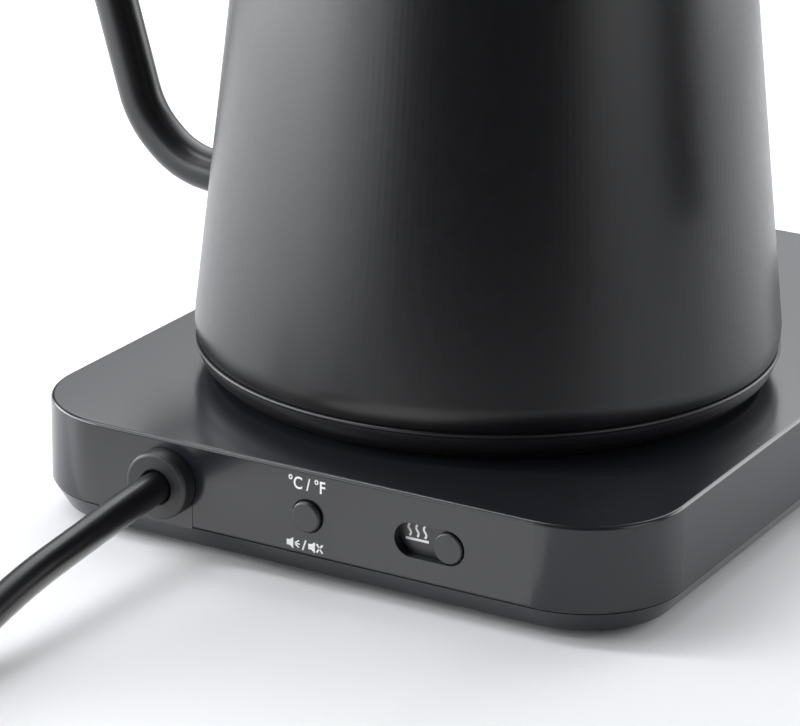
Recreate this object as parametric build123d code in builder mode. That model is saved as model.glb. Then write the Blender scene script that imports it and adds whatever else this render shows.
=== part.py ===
# Electric gooseneck kettle on a flat powered base, with its mains lead coiled beside it.
# Frame: millimetres, +Z up, origin on the table under the kettle's axis. The spout points
# along -X, the handle along +X, the lead leaves the base's rear face along -Y.
import os
from math import cos, pi, radians, sin, tan

from build123d import *

os.makedirs("parts", exist_ok=True)

# ---------------------------------------------------------------- driving dimensions
# powered base
base_width = 150.0  # along X
base_depth = 200.0  # along Y
base_rear = -77.2  # Y of the rear face
base_top = 26.0
base_corner = 22.5  # plan radius
rim_foot = 7.0  # lower edge of the upright wall
tray_foot = 2.0  # underside of the base
tray_inset = 3.2  # how far the slanted skirt comes in
wall = 2.0
top_wall = 2.5
edge_round = 0.85
base_mid = base_rear + base_depth / 2
under_top = base_top - top_wall
wall_inner = base_rear + wall

# kettle
seam_z = 33.06  # where the steel body meets the plastic ring
seam_radius = 65.0
cone_radius = 65.55  # the cone's radius if it ran down to the seam
cone_slope = 0.1122  # radius lost for each millimetre of height
body_top = 168.0
skin = 0.8
mouth_radius = 44.0
spout_outer = 4.9
spout_bore = 4.05

# rear controls
control_z = 15.8
slot_middle = 28.85
slot_length = 16.4
slot_height = 7.6
slider_x = 33.3
slider_travel = 8.8
gland_x = -35.0
gland_z = 16.35
cord_radius = 3.5

# front controls
panel_y = 97.0
knob_x = -47.0
power_x = 47.0

# mains lead
coil_x = -79.5
coil_y = -196.0
turn_outer = 42.5  # radii of the cord's centre line in the coil
turn_inner = 35.5
turn_top = 39.0
relief_length = 40.0
plug_z = 13.0

rear_face = Plane(origin=(0, base_rear, 0), x_dir=(1, 0, 0), z_dir=(0, -1, 0))


def facing_rear(y):
    """A plane at this Y whose sketch axes are X and Z, and whose normal is -Y."""
    return Plane(origin=(0, y, 0), x_dir=(1, 0, 0), z_dir=(0, -1, 0))


def cone_at(z):
    """Outer radius of the steel body at this height."""
    return cone_radius - cone_slope * (z - seam_z)


def wall_at(z):
    """Inner radius of the steel body at this height."""
    return cone_at(z) - skin


# ---------------------------------------------------------------- base casing
screw_places = [(x, y) for x in (-64.0, 64.0) for y in (-36.0, 22.0, 80.0)]
foot_places = [(x, y) for x in (-54.0, 54.0) for y in (-56.0, 102.0)] + [(0.0, 0.0)]
post_radius = 3.6
post_foot = 6.6
pilot_radius = 1.2
connector_radius = 16.0
connector_screws_at = 20.5
display_width, display_depth = 44.0, 22.0
power_radius = 7.0
button_radius = 3.45
slider_plate_z = 9.4
notch_half = 6.7
neck_radius = 5.0

with BuildPart() as base_housing:
    with BuildSketch(Plane.XY.offset(rim_foot)):
        with Locations((0, base_mid)):
            RectangleRounded(base_width, base_depth, base_corner)
    extrude(amount=base_top - rim_foot)
    fillet(base_housing.faces().sort_by(Axis.Z)[-1].edges(), edge_round)
    fillet(base_housing.faces().sort_by(Axis.Z)[0].edges(), 0.5)
    with BuildSketch(Plane.XY.offset(rim_foot)):
        with Locations((0, base_mid)):
            RectangleRounded(base_width - 2 * wall, base_depth - 2 * wall, base_corner - wall)
    extrude(amount=under_top - rim_foot, mode=Mode.SUBTRACT)
    # posts that the underside screws bite into, and three short ones for the connector
    with BuildSketch(Plane.XY.offset(post_foot)):
        with Locations(*screw_places):
            Circle(post_radius)
    extrude(amount=under_top - post_foot)
    with BuildSketch(Plane.XY.offset(under_top - 4.4)):
        with PolarLocations(connector_screws_at, 3, 90):
            Circle(2.6)
    extrude(amount=4.4)
    with BuildSketch(Plane.XY.offset(post_foot)):
        with Locations(*screw_places):
            Circle(pilot_radius)
    extrude(amount=12.0, mode=Mode.SUBTRACT)
    with BuildSketch(Plane.XY.offset(under_top - 4.4)):
        with PolarLocations(connector_screws_at, 3, 90):
            Circle(0.9)
    extrude(amount=5.2, mode=Mode.SUBTRACT)
    # openings in the top: connector, knob shaft, start button, display with its ledge
    with BuildSketch(Plane.XY.offset(under_top)):
        Circle(connector_radius + 0.3)
        with Locations((knob_x, panel_y)):
            Circle(3.8)
        with Locations((power_x, panel_y)):
            Circle(power_radius + 0.2)
        with Locations((0, panel_y)):
            Rectangle(display_width - 4, display_depth - 4)
    extrude(amount=top_wall, mode=Mode.SUBTRACT)
    with BuildSketch(Plane.XY.offset(base_top - 1.6)):
        with Locations((0, panel_y)):
            RectangleRounded(display_width, display_depth, 2.0)
    extrude(amount=1.6, mode=Mode.SUBTRACT)
    # openings in the rear wall: unit button, keep-warm slot, gland notch
    with BuildSketch(rear_face):
        with Locations((0, control_z)):
            Circle(button_radius + 0.3)
        with Locations((slot_middle, control_z)):
            SlotOverall(slot_length, slot_height)
        with Locations((gland_x, gland_z)):
            Circle(neck_radius + 0.1)
        with Locations((gland_x, (rim_foot + gland_z) / 2 - 0.5)):
            Rectangle(2 * notch_half, gland_z - rim_foot + 1)
    extrude(amount=-(wall + 0.5), mode=Mode.SUBTRACT)
    # two rails that guide the slider's backing plate
    with BuildSketch(facing_rear(wall_inner)):
        for z in (control_z - slider_plate_z / 2 - 1.0, control_z + slider_plate_z / 2 + 1.0):
            with Locations((28.5, z)):
                Rectangle(43.0, 1.4)
    extrude(amount=-3.0)

with BuildPart() as base_tray:
    with BuildSketch(Plane.XY.offset(tray_foot)):
        with Locations((0, base_mid)):
            RectangleRounded(
                base_width - 2 * tray_inset, base_depth - 2 * tray_inset, base_corner - tray_inset
            )
    with BuildSketch(Plane.XY.offset(rim_foot - 0.15)):
        with Locations((0, base_mid)):
            RectangleRounded(base_width - 0.6, base_depth - 0.6, base_corner - 0.3)
    loft()
    fillet(base_tray.faces().sort_by(Axis.Z)[0].edges(), 0.6)
    # the tray's inside, leaving a rim that locates it in the casing
    with BuildSketch(Plane.XY.offset(rim_foot - 0.15)):
        with Locations((0, base_mid)):
            RectangleRounded(base_width - 4.4, base_depth - 4.4, base_corner - 2.2)
    extrude(amount=2.2)
    with BuildSketch(Plane.XY.offset(tray_foot + 2.2)):
        with Locations((0, base_mid)):
            RectangleRounded(base_width - 11.0, base_depth - 11.0, base_corner - 5.5)
    extrude(amount=10.0, mode=Mode.SUBTRACT)
    with BuildSketch(Plane.XY.offset(tray_foot + 2.2)):
        with Locations(*screw_places):
            Circle(4.8)
    extrude(amount=post_foot - 0.05 - tray_foot - 2.2)
    # three pegs that carry the power board
    with BuildSketch(Plane.XY.offset(tray_foot + 2.2)):
        with Locations((-54, -30), (-38, 8), (-54, 50)):
            Circle(2.5)
    extrude(amount=3.6)
    # a tongue that closes the casing's notch under the gland
    with BuildSketch(facing_rear(base_rear + 0.05)):
        with Locations((gland_x, (rim_foot - 0.3 + gland_z) / 2)):
            Rectangle(2 * notch_half - 0.3, gland_z - rim_foot + 0.3)
    extrude(amount=-(wall + 0.25))
    with BuildSketch(facing_rear(base_rear - 0.5)):
        with Locations((gland_x, gland_z)):
            Circle(neck_radius + 0.1)
    extrude(amount=-(wall + 1.0), mode=Mode.SUBTRACT)
    # pockets for the feet and countersunk screws in the underside
    with BuildSketch(Plane.XY.offset(tray_foot)):
        with Locations(*foot_places):
            Circle(7.2)
    extrude(amount=0.8, mode=Mode.SUBTRACT)
    with BuildSketch(Plane.XY.offset(tray_foot)):
        with Locations(*screw_places):
            Circle(1.7)
    extrude(amount=10.0, mode=Mode.SUBTRACT)
    with BuildSketch(Plane.XY.offset(tray_foot)):
        with Locations(*screw_places):
            Circle(3.3)
    extrude(amount=2.0, mode=Mode.SUBTRACT)

with BuildPart() as rubber_feet:
    with BuildSketch(Plane.XY):
        with Locations(*foot_places):
            Circle(7.0)
    extrude(amount=tray_foot + 0.8)
    chamfer(rubber_feet.faces().group_by(Axis.Z)[0].edges(), 0.5)

with BuildPart() as base_screws:
    with BuildSketch(Plane.XY.offset(tray_foot + 0.3)):
        with Locations(*screw_places):
            Circle(2.9)
    extrude(amount=1.7)
    with BuildSketch(Plane.XY.offset(tray_foot + 0.3)):
        with Locations(*screw_places):
            Circle(1.15)
    extrude(amount=13.0)
    with BuildSketch(Plane.XY.offset(tray_foot + 0.3)):
        with Locations(*screw_places):
            Rectangle(3.2, 0.7)
            Rectangle(0.7, 3.2)
    extrude(amount=0.9, mode=Mode.SUBTRACT)

# ---------------------------------------------------------------- front panel
board_z = 15.0
board_thickness = 1.6
board_top = board_z + board_thickness

with BuildPart() as control_board:
    with BuildSketch(Plane.XY.offset(board_z)):
        with Locations((0, panel_y)):
            RectangleRounded(118.0, 34.0, 2.0)
    extrude(amount=board_thickness)

with BuildPart() as display_window:
    with BuildSketch(Plane.XY.offset(base_top - 1.6)):
        with Locations((0, panel_y)):
            RectangleRounded(display_width - 0.3, display_depth - 0.3, 1.85)
    extrude(amount=1.6)

with BuildPart() as display_module:
    with BuildSketch(Plane.XY.offset(board_top)):
        with Locations((0, panel_y)):
            Rectangle(38.0, 16.5)
    extrude(amount=6.4)
    # four digit wells open towards the window
    with BuildSketch(Plane.XY.offset(board_top + 5.6)):
        with Locations((0, panel_y)):
            with GridLocations(8.6, 1, 4, 1):
                RectangleRounded(7.0, 12.0, 1.0)
    extrude(amount=0.8, mode=Mode.SUBTRACT)

shaft_radius = 3.0
knob_radius = 15.0
knob_foot = base_top + 1.0
knob_height = 15.0

with BuildPart() as encoder_body:
    with BuildSketch(Plane.XY.offset(board_top)):
        with Locations((knob_x, panel_y)):
            RectangleRounded(12.0, 12.0, 0.8)
    extrude(amount=5.6)
    with BuildSketch(Plane.XY.offset(board_top + 5.6)):
        with Locations((knob_x, panel_y)):
            Circle(3.6)
    extrude(amount=8.4)
    with BuildSketch(Plane.XY.offset(board_top + 3.0)):
        with Locations((knob_x, panel_y)):
            Circle(shaft_radius + 0.05)
    extrude(amount=12.0, mode=Mode.SUBTRACT)

with BuildPart() as encoder_shaft:
    with BuildSketch(Plane.XY.offset(board_top + 3.4)):
        with Locations((knob_x, panel_y)):
            Circle(shaft_radius)
    extrude(amount=knob_foot + knob_height - 3.5 - board_top - 3.4)

with BuildPart() as control_knob:
    with BuildSketch(Plane.XY.offset(knob_foot)):
        with Locations((knob_x, panel_y)):
            Circle(knob_radius)
    extrude(amount=knob_height)
    fillet(control_knob.faces().sort_by(Axis.Z)[-1].edges(), 0.9)
    chamfer(control_knob.faces().sort_by(Axis.Z)[0].edges(), 0.5)
    # hollow with a hub round the shaft
    with BuildSketch(Plane.XY.offset(knob_foot)):
        with Locations((knob_x, panel_y)):
            Circle(knob_radius - 2.2)
            Circle(5.6, mode=Mode.SUBTRACT)
    extrude(amount=knob_height - 3.0, mode=Mode.SUBTRACT)
    with BuildSketch(Plane.XY.offset(knob_foot)):
        with Locations((knob_x, panel_y)):
            Circle(5.6)
    extrude(amount=4.6, mode=Mode.SUBTRACT)
    with BuildSketch(Plane.XY.offset(knob_foot)):
        with Locations((knob_x, panel_y)):
            Circle(shaft_radius)
    extrude(amount=knob_height - 3.5, mode=Mode.SUBTRACT)
    # a line on the top that shows which way the knob points
    with BuildSketch(Plane.XY.offset(knob_foot + knob_height)):
        with Locations((knob_x, panel_y + knob_radius - 4.5)):
            SlotOverall(5.0, 1.0, rotation=90)
    extrude(amount=-0.5, mode=Mode.SUBTRACT)

power_travel = 1.2
power_foot = under_top - 2.0

with BuildPart() as power_button:
    with BuildSketch(Plane.XY.offset(power_foot)):
        with Locations((power_x, panel_y)):
            Circle(power_radius)
    extrude(amount=base_top + 0.4 - power_foot)
    fillet(power_button.faces().sort_by(Axis.Z)[-1].edges(), 0.6)
    with BuildSketch(Plane.XY.offset(power_foot)):
        with Locations((power_x, panel_y)):
            Circle(power_radius + 1.3)
    extrude(amount=1.5)

with BuildPart() as power_switch:
    with BuildSketch(Plane.XY.offset(board_top)):
        with Locations((power_x, panel_y)):
            RectangleRounded(6.2, 6.2, 0.4)
    extrude(amount=2.4)
    with BuildSketch(Plane.XY.offset(board_top + 2.4)):
        with Locations((power_x, panel_y)):
            Circle(1.7)
    extrude(amount=power_foot - power_travel - 0.4 - board_top - 2.4)

# ---------------------------------------------------------------- power board
power_board_z = tray_foot + 2.2 + 3.6
power_top = power_board_z + board_thickness

with BuildPart() as power_board:
    with BuildSketch(Plane.XY.offset(power_board_z)):
        with Locations((-44, 10)):
            RectangleRounded(31.0, 92.0, 1.5)
    extrude(amount=board_thickness)

with BuildPart() as power_relay:
    with BuildSketch(Plane.XY.offset(power_top)):
        with Locations((-40, -14)):
            RectangleRounded(15.2, 19.0, 0.6)
    extrude(amount=12.2)
    chamfer(power_relay.faces().sort_by(Axis.Z)[-1].edges(), 0.5)

with BuildPart() as power_transformer:
    with BuildSketch(Plane.XY.offset(power_top)):
        with Locations((-45, 26)):
            Rectangle(16.0, 13.0)
    extrude(amount=11.5)
    with BuildSketch(Plane.XY.offset(power_top + 2.2)):
        with Locations((-45, 26)):
            RectangleRounded(19.0, 9.0, 1.0)
    extrude(amount=7.0)

with BuildPart() as power_capacitors:
    with BuildSketch(Plane.XY.offset(power_top)):
        with Locations((-55, 42), (-43, 44)):
            Circle(4.0)
    extrude(amount=12.0)
    with BuildSketch(Plane.XY.offset(power_top)):
        with Locations((-56, -14)):
            RectangleRounded(6.0, 17.5, 0.6)
    extrude(amount=11.0)

with BuildPart() as buzzer:
    with BuildSketch(Plane.XY.offset(power_top)):
        with Locations((-40, 4)):
            Circle(6.0)
            Circle(1.0, mode=Mode.SUBTRACT)
    extrude(amount=5.5)

# ---------------------------------------------------------------- cordless connector, base half
connector_top = base_top + 10.4
flange_top = under_top - 4.45
slot_floor = base_top + 1.0

with BuildPart() as base_connector:
    with BuildSketch(Plane.XY.offset(flange_top - 2.4)):
        Circle(24.0)
    extrude(amount=2.4)
    with BuildSketch(Plane.XY.offset(flange_top - 8.0)):
        Circle(connector_radius)
    extrude(amount=connector_top - flange_top + 8.0)
    chamfer(base_connector.faces().sort_by(Axis.Z)[-1].edges(), 1.0)
    # two ring slots and the centre socket
    with BuildSketch(Plane.XY.offset(slot_floor)):
        Circle(13.2)
        Circle(10.6, mode=Mode.SUBTRACT)
        Circle(8.4)
        Circle(5.6, mode=Mode.SUBTRACT)
        Circle(2.8)
    extrude(amount=connector_top - slot_floor, mode=Mode.SUBTRACT)
    with BuildSketch(Plane.XY.offset(flange_top - 2.4)):
        with PolarLocations(connector_screws_at, 3, 90):
            Circle(1.2)
    extrude(amount=2.4, mode=Mode.SUBTRACT)

with BuildPart() as base_contacts:
    with BuildSketch(Plane.XY.offset(slot_floor)):
        Circle(13.0)
        Circle(10.8, mode=Mode.SUBTRACT)
        Circle(8.2)
        Circle(5.8, mode=Mode.SUBTRACT)
        Circle(2.6)
    extrude(amount=0.7)

with BuildPart() as connector_screws:
    with BuildSketch(Plane.XY.offset(flange_top - 4.0)):
        with PolarLocations(connector_screws_at, 3, 90):
            Circle(2.2)
    extrude(amount=1.55)
    with BuildSketch(Plane.XY.offset(flange_top - 4.0)):
        with PolarLocations(connector_screws_at, 3, 90):
            Circle(0.85)
    extrude(amount=7.5)

# ---------------------------------------------------------------- rear controls
rear_board_y = wall_inner + 10.4
button_proud = 1.2
button_travel = 0.8
switch_tip = rear_board_y - 3.2

with BuildPart() as rear_board:
    with BuildSketch(facing_rear(rear_board_y)):
        with Locations((18.0, 14.8)):
            Rectangle(62.0, 16.0)
    extrude(amount=-1.2)

with BuildPart() as unit_button:
    with BuildSketch(facing_rear(base_rear - button_proud)):
        with Locations((0, control_z)):
            Circle(button_radius)
    extrude(amount=-(button_proud + wall + 1.8))
    fillet(unit_button.faces().sort_by(Axis.Y)[0].edges(), 0.7)
    with BuildSketch(facing_rear(wall_inner + 0.4)):
        with Locations((0, control_z)):
            Circle(4.6)
    extrude(amount=-1.4)
    with BuildSketch(facing_rear(wall_inner + 1.8)):
        with Locations((0, control_z)):
            Circle(1.6)
    extrude(amount=-(switch_tip - button_travel - 0.3 - wall_inner - 1.8))

with BuildPart() as unit_switch:
    with BuildSketch(facing_rear(rear_board_y)):
        with Locations((0, control_z)):
            RectangleRounded(6.0, 6.0, 0.4)
    extrude(amount=2.2)
    with BuildSketch(facing_rear(rear_board_y - 2.2)):
        with Locations((0, control_z)):
            Circle(1.5)
    extrude(amount=1.0)

plate_front = wall_inner + 0.3

with BuildPart() as keep_warm_slider:
    with BuildSketch(facing_rear(plate_front)):
        with Locations((slider_x, control_z)):
            Rectangle(28.0, slider_plate_z - 0.2)
    extrude(amount=-1.2)
    with BuildSketch(facing_rear(plate_front)):
        with Locations((slider_x, control_z)):
            Circle(3.35)
    extrude(amount=plate_front - base_rear + 0.45)
    fillet(keep_warm_slider.faces().sort_by(Axis.Y)[0].edges(), 0.4)
    with BuildSketch(facing_rear(plate_front + 1.2)):
        with Locations((slider_x, control_z)):
            Rectangle(1.8, 1.8)
    extrude(amount=-(rear_board_y - 2.6 - plate_front - 1.2))

with BuildPart() as slide_switch:
    with BuildSketch(facing_rear(rear_board_y)):
        with Locations((slider_x - slider_travel / 2, control_z)):
            RectangleRounded(18.0, 6.5, 0.5)
    extrude(amount=3.6)
    with BuildSketch(facing_rear(rear_board_y - 3.6)):
        with Locations((slider_x - slider_travel / 2, control_z)):
            Rectangle(slider_travel + 3.0, 2.6)
    extrude(amount=-1.8, mode=Mode.SUBTRACT)

# ---------------------------------------------------------------- gland and inner leads
flange_radius = 7.45
flange_proud = 4.2
gland_pocket = 2.2
mouth_hole = 3.75
sleeve_end = wall_inner + 20.0

with BuildPart() as cord_gland:
    with BuildSketch(facing_rear(base_rear - flange_proud)):
        with Locations((gland_x, gland_z)):
            Circle(flange_radius)
    extrude(amount=-(flange_proud - 0.05))
    fillet(cord_gland.faces().sort_by(Axis.Y)[0].edges(), 0.8)
    with BuildSketch(facing_rear(base_rear - 0.1)):
        with Locations((gland_x, gland_z)):
            Circle(neck_radius)
    extrude(amount=-(wall + 0.5))
    with BuildSketch(facing_rear(wall_inner + 0.35)):
        with Locations((gland_x, gland_z)):
            Circle(6.2)
    extrude(amount=-2.0)
    with BuildSketch(facing_rear(wall_inner + 2.3)):
        with Locations((gland_x, gland_z)):
            Circle(5.2)
    with BuildSketch(facing_rear(sleeve_end)):
        with Locations((gland_x, gland_z)):
            Circle(4.1)
    loft()
    # the mouth that the lead comes out of
    with BuildSketch(facing_rear(base_rear - flange_proud)):
        with Locations((gland_x, gland_z)):
            Circle(mouth_hole)
    extrude(amount=-gland_pocket, mode=Mode.SUBTRACT)

wire_radius = 0.7

with BuildPart() as lead_wires:
    for step in (-1, 0, 1):
        x = gland_x + 2.6 * step
        end_x = -46.0 + 5.0 * step
        with BuildLine():
            FilletPolyline(
                (x, sleeve_end, gland_z),
                (x, sleeve_end + 9.0, gland_z),
                (end_x, sleeve_end + 23.0, gland_z - 1.5),
                (end_x, sleeve_end + 24.0, power_top + 0.3),
                radius=3.0,
            )
        with BuildSketch(Plane(origin=(x, sleeve_end, gland_z), z_dir=(0, 1, 0))):
            Circle(wire_radius)
        sweep()

# ---------------------------------------------------------------- mains lead
# corner points of the lead's line, from the gland's pocket to the coil's first turn
lead_route = [
    (gland_x, base_rear - flange_proud + gland_pocket, gland_z),
    (-35.0, -91.5, 15.8),
    (-34.9, -109.0, 14.3),
    (-35.0, -129.5, 12.3),
    (-35.4, -149.0, 7.4),
    (-36.3, -167.0, 3.6),
    (coil_x + turn_outer, -185.0, 3.55),
]


def bend_radii(points):
    """As large an arc at each corner as its two runs allow."""
    corners = [Vector(*p) for p in points]
    radii = []
    for before, here, after in zip(corners, corners[1:], corners[2:]):
        turn = radians((here - before).get_angle(after - here))
        shorter = min((here - before).length, (after - here).length)
        radii.append(0.45 * shorter / tan(turn / 2))
    return radii


lead_radii = bend_radii(lead_route)
print("lead radii", [round(r, 1) for r in lead_radii])

with BuildPart() as power_cord:
    with BuildLine() as lead_line:
        FilletPolyline(*lead_route, radius=lead_radii)
    start = Vector(*lead_route[0])
    with BuildSketch(Plane(origin=start, z_dir=Vector(*lead_route[1]) - start)):
        Circle(cord_radius)
    sweep()
lead_length = sum(edge.length for edge in lead_line.edges())
print("lead length", round(lead_length, 1))
print("lead volume over section x length", round(
    power_cord.part.volume / (pi * cord_radius**2 * lead_length), 4))

# two flat turns, and half a turn on top of them that ends at the plug
with BuildPart() as cord_coil:
    with BuildSketch(Plane(origin=(coil_x, coil_y, 0), x_dir=(1, 0, 0), z_dir=(0, -1, 0))):
        with Locations((turn_top, cord_radius)):
            SlotOverall(turn_outer - turn_inner + 2 * cord_radius, 2 * cord_radius)
    revolve(axis=Axis((coil_x, coil_y, 0), (0, 0, 1)), revolution_arc=360)
    with BuildSketch(Plane(origin=(coil_x, coil_y, 0), x_dir=(-1, 0, 0), z_dir=(0, 1, 0))):
        with Locations((turn_top, 8.4)):
            RectangleRounded(8.4, 12.0, 3.4)
    revolve(axis=Axis((coil_x, coil_y, 0), (0, 0, 1)), revolution_arc=200)

tie_angle = radians(-60)
tie_middle = Vector(coil_x + turn_top * cos(tie_angle), coil_y + turn_top * sin(tie_angle), 0)

with BuildPart() as cord_tie:
    tie_plane = Plane(
        origin=tie_middle,
        x_dir=(cos(tie_angle), sin(tie_angle), 0),
        z_dir=(sin(tie_angle), -cos(tie_angle), 0),
    )
    with BuildSketch(tie_plane):
        with Locations((0, 7.6)):
            RectangleRounded(17.6, 15.2, 4.0)
            RectangleRounded(15.2, 12.8, 3.0, mode=Mode.SUBTRACT)
    extrude(amount=5.0, both=True)

plug_x = coil_x - turn_top
relief_end = coil_y + relief_length
plug_body_length = 30.0

with BuildPart() as plug_body:
    with BuildSketch(facing_rear(coil_y)):
        with Locations((plug_x, plug_z)):
            Circle(4.2)
    with BuildSketch(facing_rear(relief_end)):
        with Locations((plug_x, plug_z)):
            Circle(6.6)
    loft()
    with BuildSketch(facing_rear(relief_end - 0.5)):
        with Locations((plug_x, plug_z)):
            RectangleRounded(17.0, 17.0, 7.0)
    with BuildSketch(facing_rear(relief_end + 9.0)):
        with Locations((plug_x, plug_z)):
            RectangleRounded(26.0, 25.6, 8.0)
    loft()
    with BuildSketch(facing_rear(relief_end + 9.0)):
        with Locations((plug_x, plug_z)):
            RectangleRounded(26.0, 25.6, 8.0)
    extrude(amount=-(plug_body_length - 9.0))
    chamfer(plug_body.faces().sort_by(Axis.Y)[-1].edges(), 1.0)

plug_face = relief_end + plug_body_length

with BuildPart() as plug_blades:
    with BuildSketch(facing_rear(plug_face)):
        for x in (plug_x - 6.35, plug_x + 6.35):
            with Locations((x, plug_z - 4.5)):
                Rectangle(1.5, 6.35)
    extrude(amount=-17.5)
    chamfer(plug_blades.faces().group_by(Axis.Y)[-1].edges(), 0.5)

with BuildPart() as plug_ground_pin:
    with BuildSketch(facing_rear(plug_face)):
        with Locations((plug_x, plug_z + 7.4)):
            Circle(2.4)
    extrude(amount=-19.5)
    fillet(plug_ground_pin.faces().sort_by(Axis.Y)[-1].edges(), 1.6)

# ---------------------------------------------------------------- kettle body
rim_fillet_z = body_top - 1.8
shell_foot = seam_z + 0.44
bulge_z = seam_z + 6.0
foot_radius = 64.35
cone_lean = (-cone_slope, 1.0)
spout_route = [
    (-59.0, 0, 56.9),
    (-80.0, 0, 59.8),
    (-90.3, 0, 69.2),
    (-99.6, 0, 100.5),
    (-106.0, 0, 130.0),
    (-116.0, 0, 160.0),
    (-138.0, 0, 160.0),
]
spout_start = Vector(*spout_route[0])
spout_plane = Plane(origin=spout_start, z_dir=Vector(*spout_route[1]) - spout_start)

with BuildPart() as body_shell:
    with BuildSketch(Plane.XZ):
        with BuildLine():
            TangentArc(
                (cone_at(bulge_z), bulge_z), (foot_radius, shell_foot), tangent=(cone_slope, -1)
            )
            Line((cone_at(bulge_z), bulge_z), (cone_at(rim_fillet_z), rim_fillet_z))
            TangentArc(
                (cone_at(rim_fillet_z), rim_fillet_z), (cone_at(body_top) - 2, body_top),
                tangent=cone_lean,
            )
            Line((cone_at(body_top) - 2, body_top), (mouth_radius, body_top))
            Line((mouth_radius, body_top), (mouth_radius, body_top - 5.5))
            Line((mouth_radius, body_top - 5.5), (mouth_radius + skin, body_top - 5.5))
            Line((mouth_radius + skin, body_top - 5.5), (mouth_radius + skin, body_top - skin))
            Line((mouth_radius + skin, body_top - skin), (wall_at(body_top) - 1.4, body_top - skin))
            TangentArc(
                (wall_at(rim_fillet_z), rim_fillet_z), (wall_at(body_top) - 1.4, body_top - skin),
                tangent=cone_lean,
            )
            Line((wall_at(rim_fillet_z), rim_fillet_z), (wall_at(bulge_z), bulge_z))
            TangentArc(
                (wall_at(bulge_z), bulge_z), (foot_radius - skin, shell_foot),
                tangent=(cone_slope, -1),
            )
            Line((foot_radius - skin, shell_foot), (foot_radius, shell_foot))
        make_face()
    revolve(axis=Axis.Z)
    # the hole that feeds the spout
    with BuildSketch(spout_plane):
        Circle(spout_bore)
    extrude(amount=8.0, mode=Mode.SUBTRACT)

with BuildPart() as spout:
    with BuildLine():
        FilletPolyline(*spout_route, radius=[min(r, 90.0) for r in bend_radii(spout_route)])
    with BuildSketch(spout_plane):
        Circle(spout_outer)
        Circle(spout_bore, mode=Mode.SUBTRACT)
    sweep()
    # the root is cut to the body's outer surface
    with BuildSketch(Plane.XY.offset(40)):
        Circle(cone_at(40.0))
    with BuildSketch(Plane.XY.offset(80)):
        Circle(cone_at(80.0))
    loft(mode=Mode.SUBTRACT)

ring_foot = 27.2
ring_foot_radius = 61.5
ring_inner = 59.8

with BuildPart() as lower_ring:
    with BuildSketch(Plane.XZ):
        with BuildLine():
            ThreePointArc((ring_foot_radius, ring_foot), (63.75, 29.6), (64.65, 32.5))
            Polyline(
                (64.65, 32.5), (seam_radius, 32.65), (seam_radius, 33.25), (63.35, 33.25),
                (63.35, 40.0), (61.4, 40.0), (61.4, 35.0), (ring_inner, 33.0),
                (ring_inner, ring_foot), (ring_foot_radius, ring_foot),
            )
        make_face()
    revolve(axis=Axis.Z)

cover_foot = 27.4
cup_radius = 18.5
cup_top = 41.4
bottom_posts_at = 50.0
stud_foot = 36.0
heater_z = 44.0
heater_thickness = 2.0

with BuildPart() as bottom_cover:
    with BuildSketch(Plane.XY.offset(cover_foot)):
        Circle(ring_inner - 0.15)
    extrude(amount=2.0)
    with BuildSketch(Plane.XY.offset(base_top + 0.3)):
        Circle(57.0)
        Circle(53.5, mode=Mode.SUBTRACT)
    extrude(amount=cover_foot - base_top - 0.3)
    with BuildSketch(Plane.XY.offset(cover_foot)):
        Circle(cup_radius + 2.0)
    extrude(amount=cup_top + 1.6 - cover_foot)
    with BuildSketch(Plane.XY.offset(cover_foot)):
        Circle(cup_radius)
    extrude(amount=cup_top - cover_foot, mode=Mode.SUBTRACT)
    with BuildSketch(Plane.XY.offset(cover_foot + 2.0)):
        with PolarLocations(bottom_posts_at, 3, 30):
            Circle(4.2)
    extrude(amount=stud_foot - 0.05 - cover_foot - 2.0)
    with BuildSketch(Plane.XY.offset(cover_foot)):
        with PolarLocations(bottom_posts_at, 3, 30):
            Circle(1.7)
    extrude(amount=12.0, mode=Mode.SUBTRACT)
    with BuildSketch(Plane.XY.offset(cover_foot)):
        with PolarLocations(bottom_posts_at, 3, 30):
            Circle(3.2)
    extrude(amount=3.0, mode=Mode.SUBTRACT)

with BuildPart() as bottom_screws:
    with BuildSketch(Plane.XY.offset(cover_foot + 1.2)):
        with PolarLocations(bottom_posts_at, 3, 30):
            Circle(2.8)
    extrude(amount=1.8)
    with BuildSketch(Plane.XY.offset(cover_foot + 1.2)):
        with PolarLocations(bottom_posts_at, 3, 30):
            Circle(1.3)
    extrude(amount=12.5)
    with BuildSketch(Plane.XY.offset(cover_foot + 1.2)):
        with PolarLocations(bottom_posts_at, 3, 30):
            Rectangle(3.2, 0.7)
            Rectangle(0.7, 3.2)
    extrude(amount=0.9, mode=Mode.SUBTRACT)

probe_y = -27.5

with BuildPart() as heater_plate:
    with BuildSketch(Plane.XY.offset(heater_z)):
        Circle(wall_at(heater_z + heater_thickness) - 0.1)
    extrude(amount=heater_thickness)
    with BuildSketch(Plane.XY.offset(stud_foot)):
        with PolarLocations(bottom_posts_at, 3, 30):
            Circle(3.0)
    extrude(amount=heater_z - stud_foot)
    with BuildSketch(Plane.XY.offset(stud_foot)):
        with PolarLocations(bottom_posts_at, 3, 30):
            Circle(1.35)
    extrude(amount=6.5, mode=Mode.SUBTRACT)
    with BuildSketch(Plane.XY.offset(heater_z)):
        with Locations((0, probe_y)):
            Circle(2.6)
    extrude(amount=heater_thickness, mode=Mode.SUBTRACT)

element_radius = 38.0
element_tube = 3.3

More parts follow.
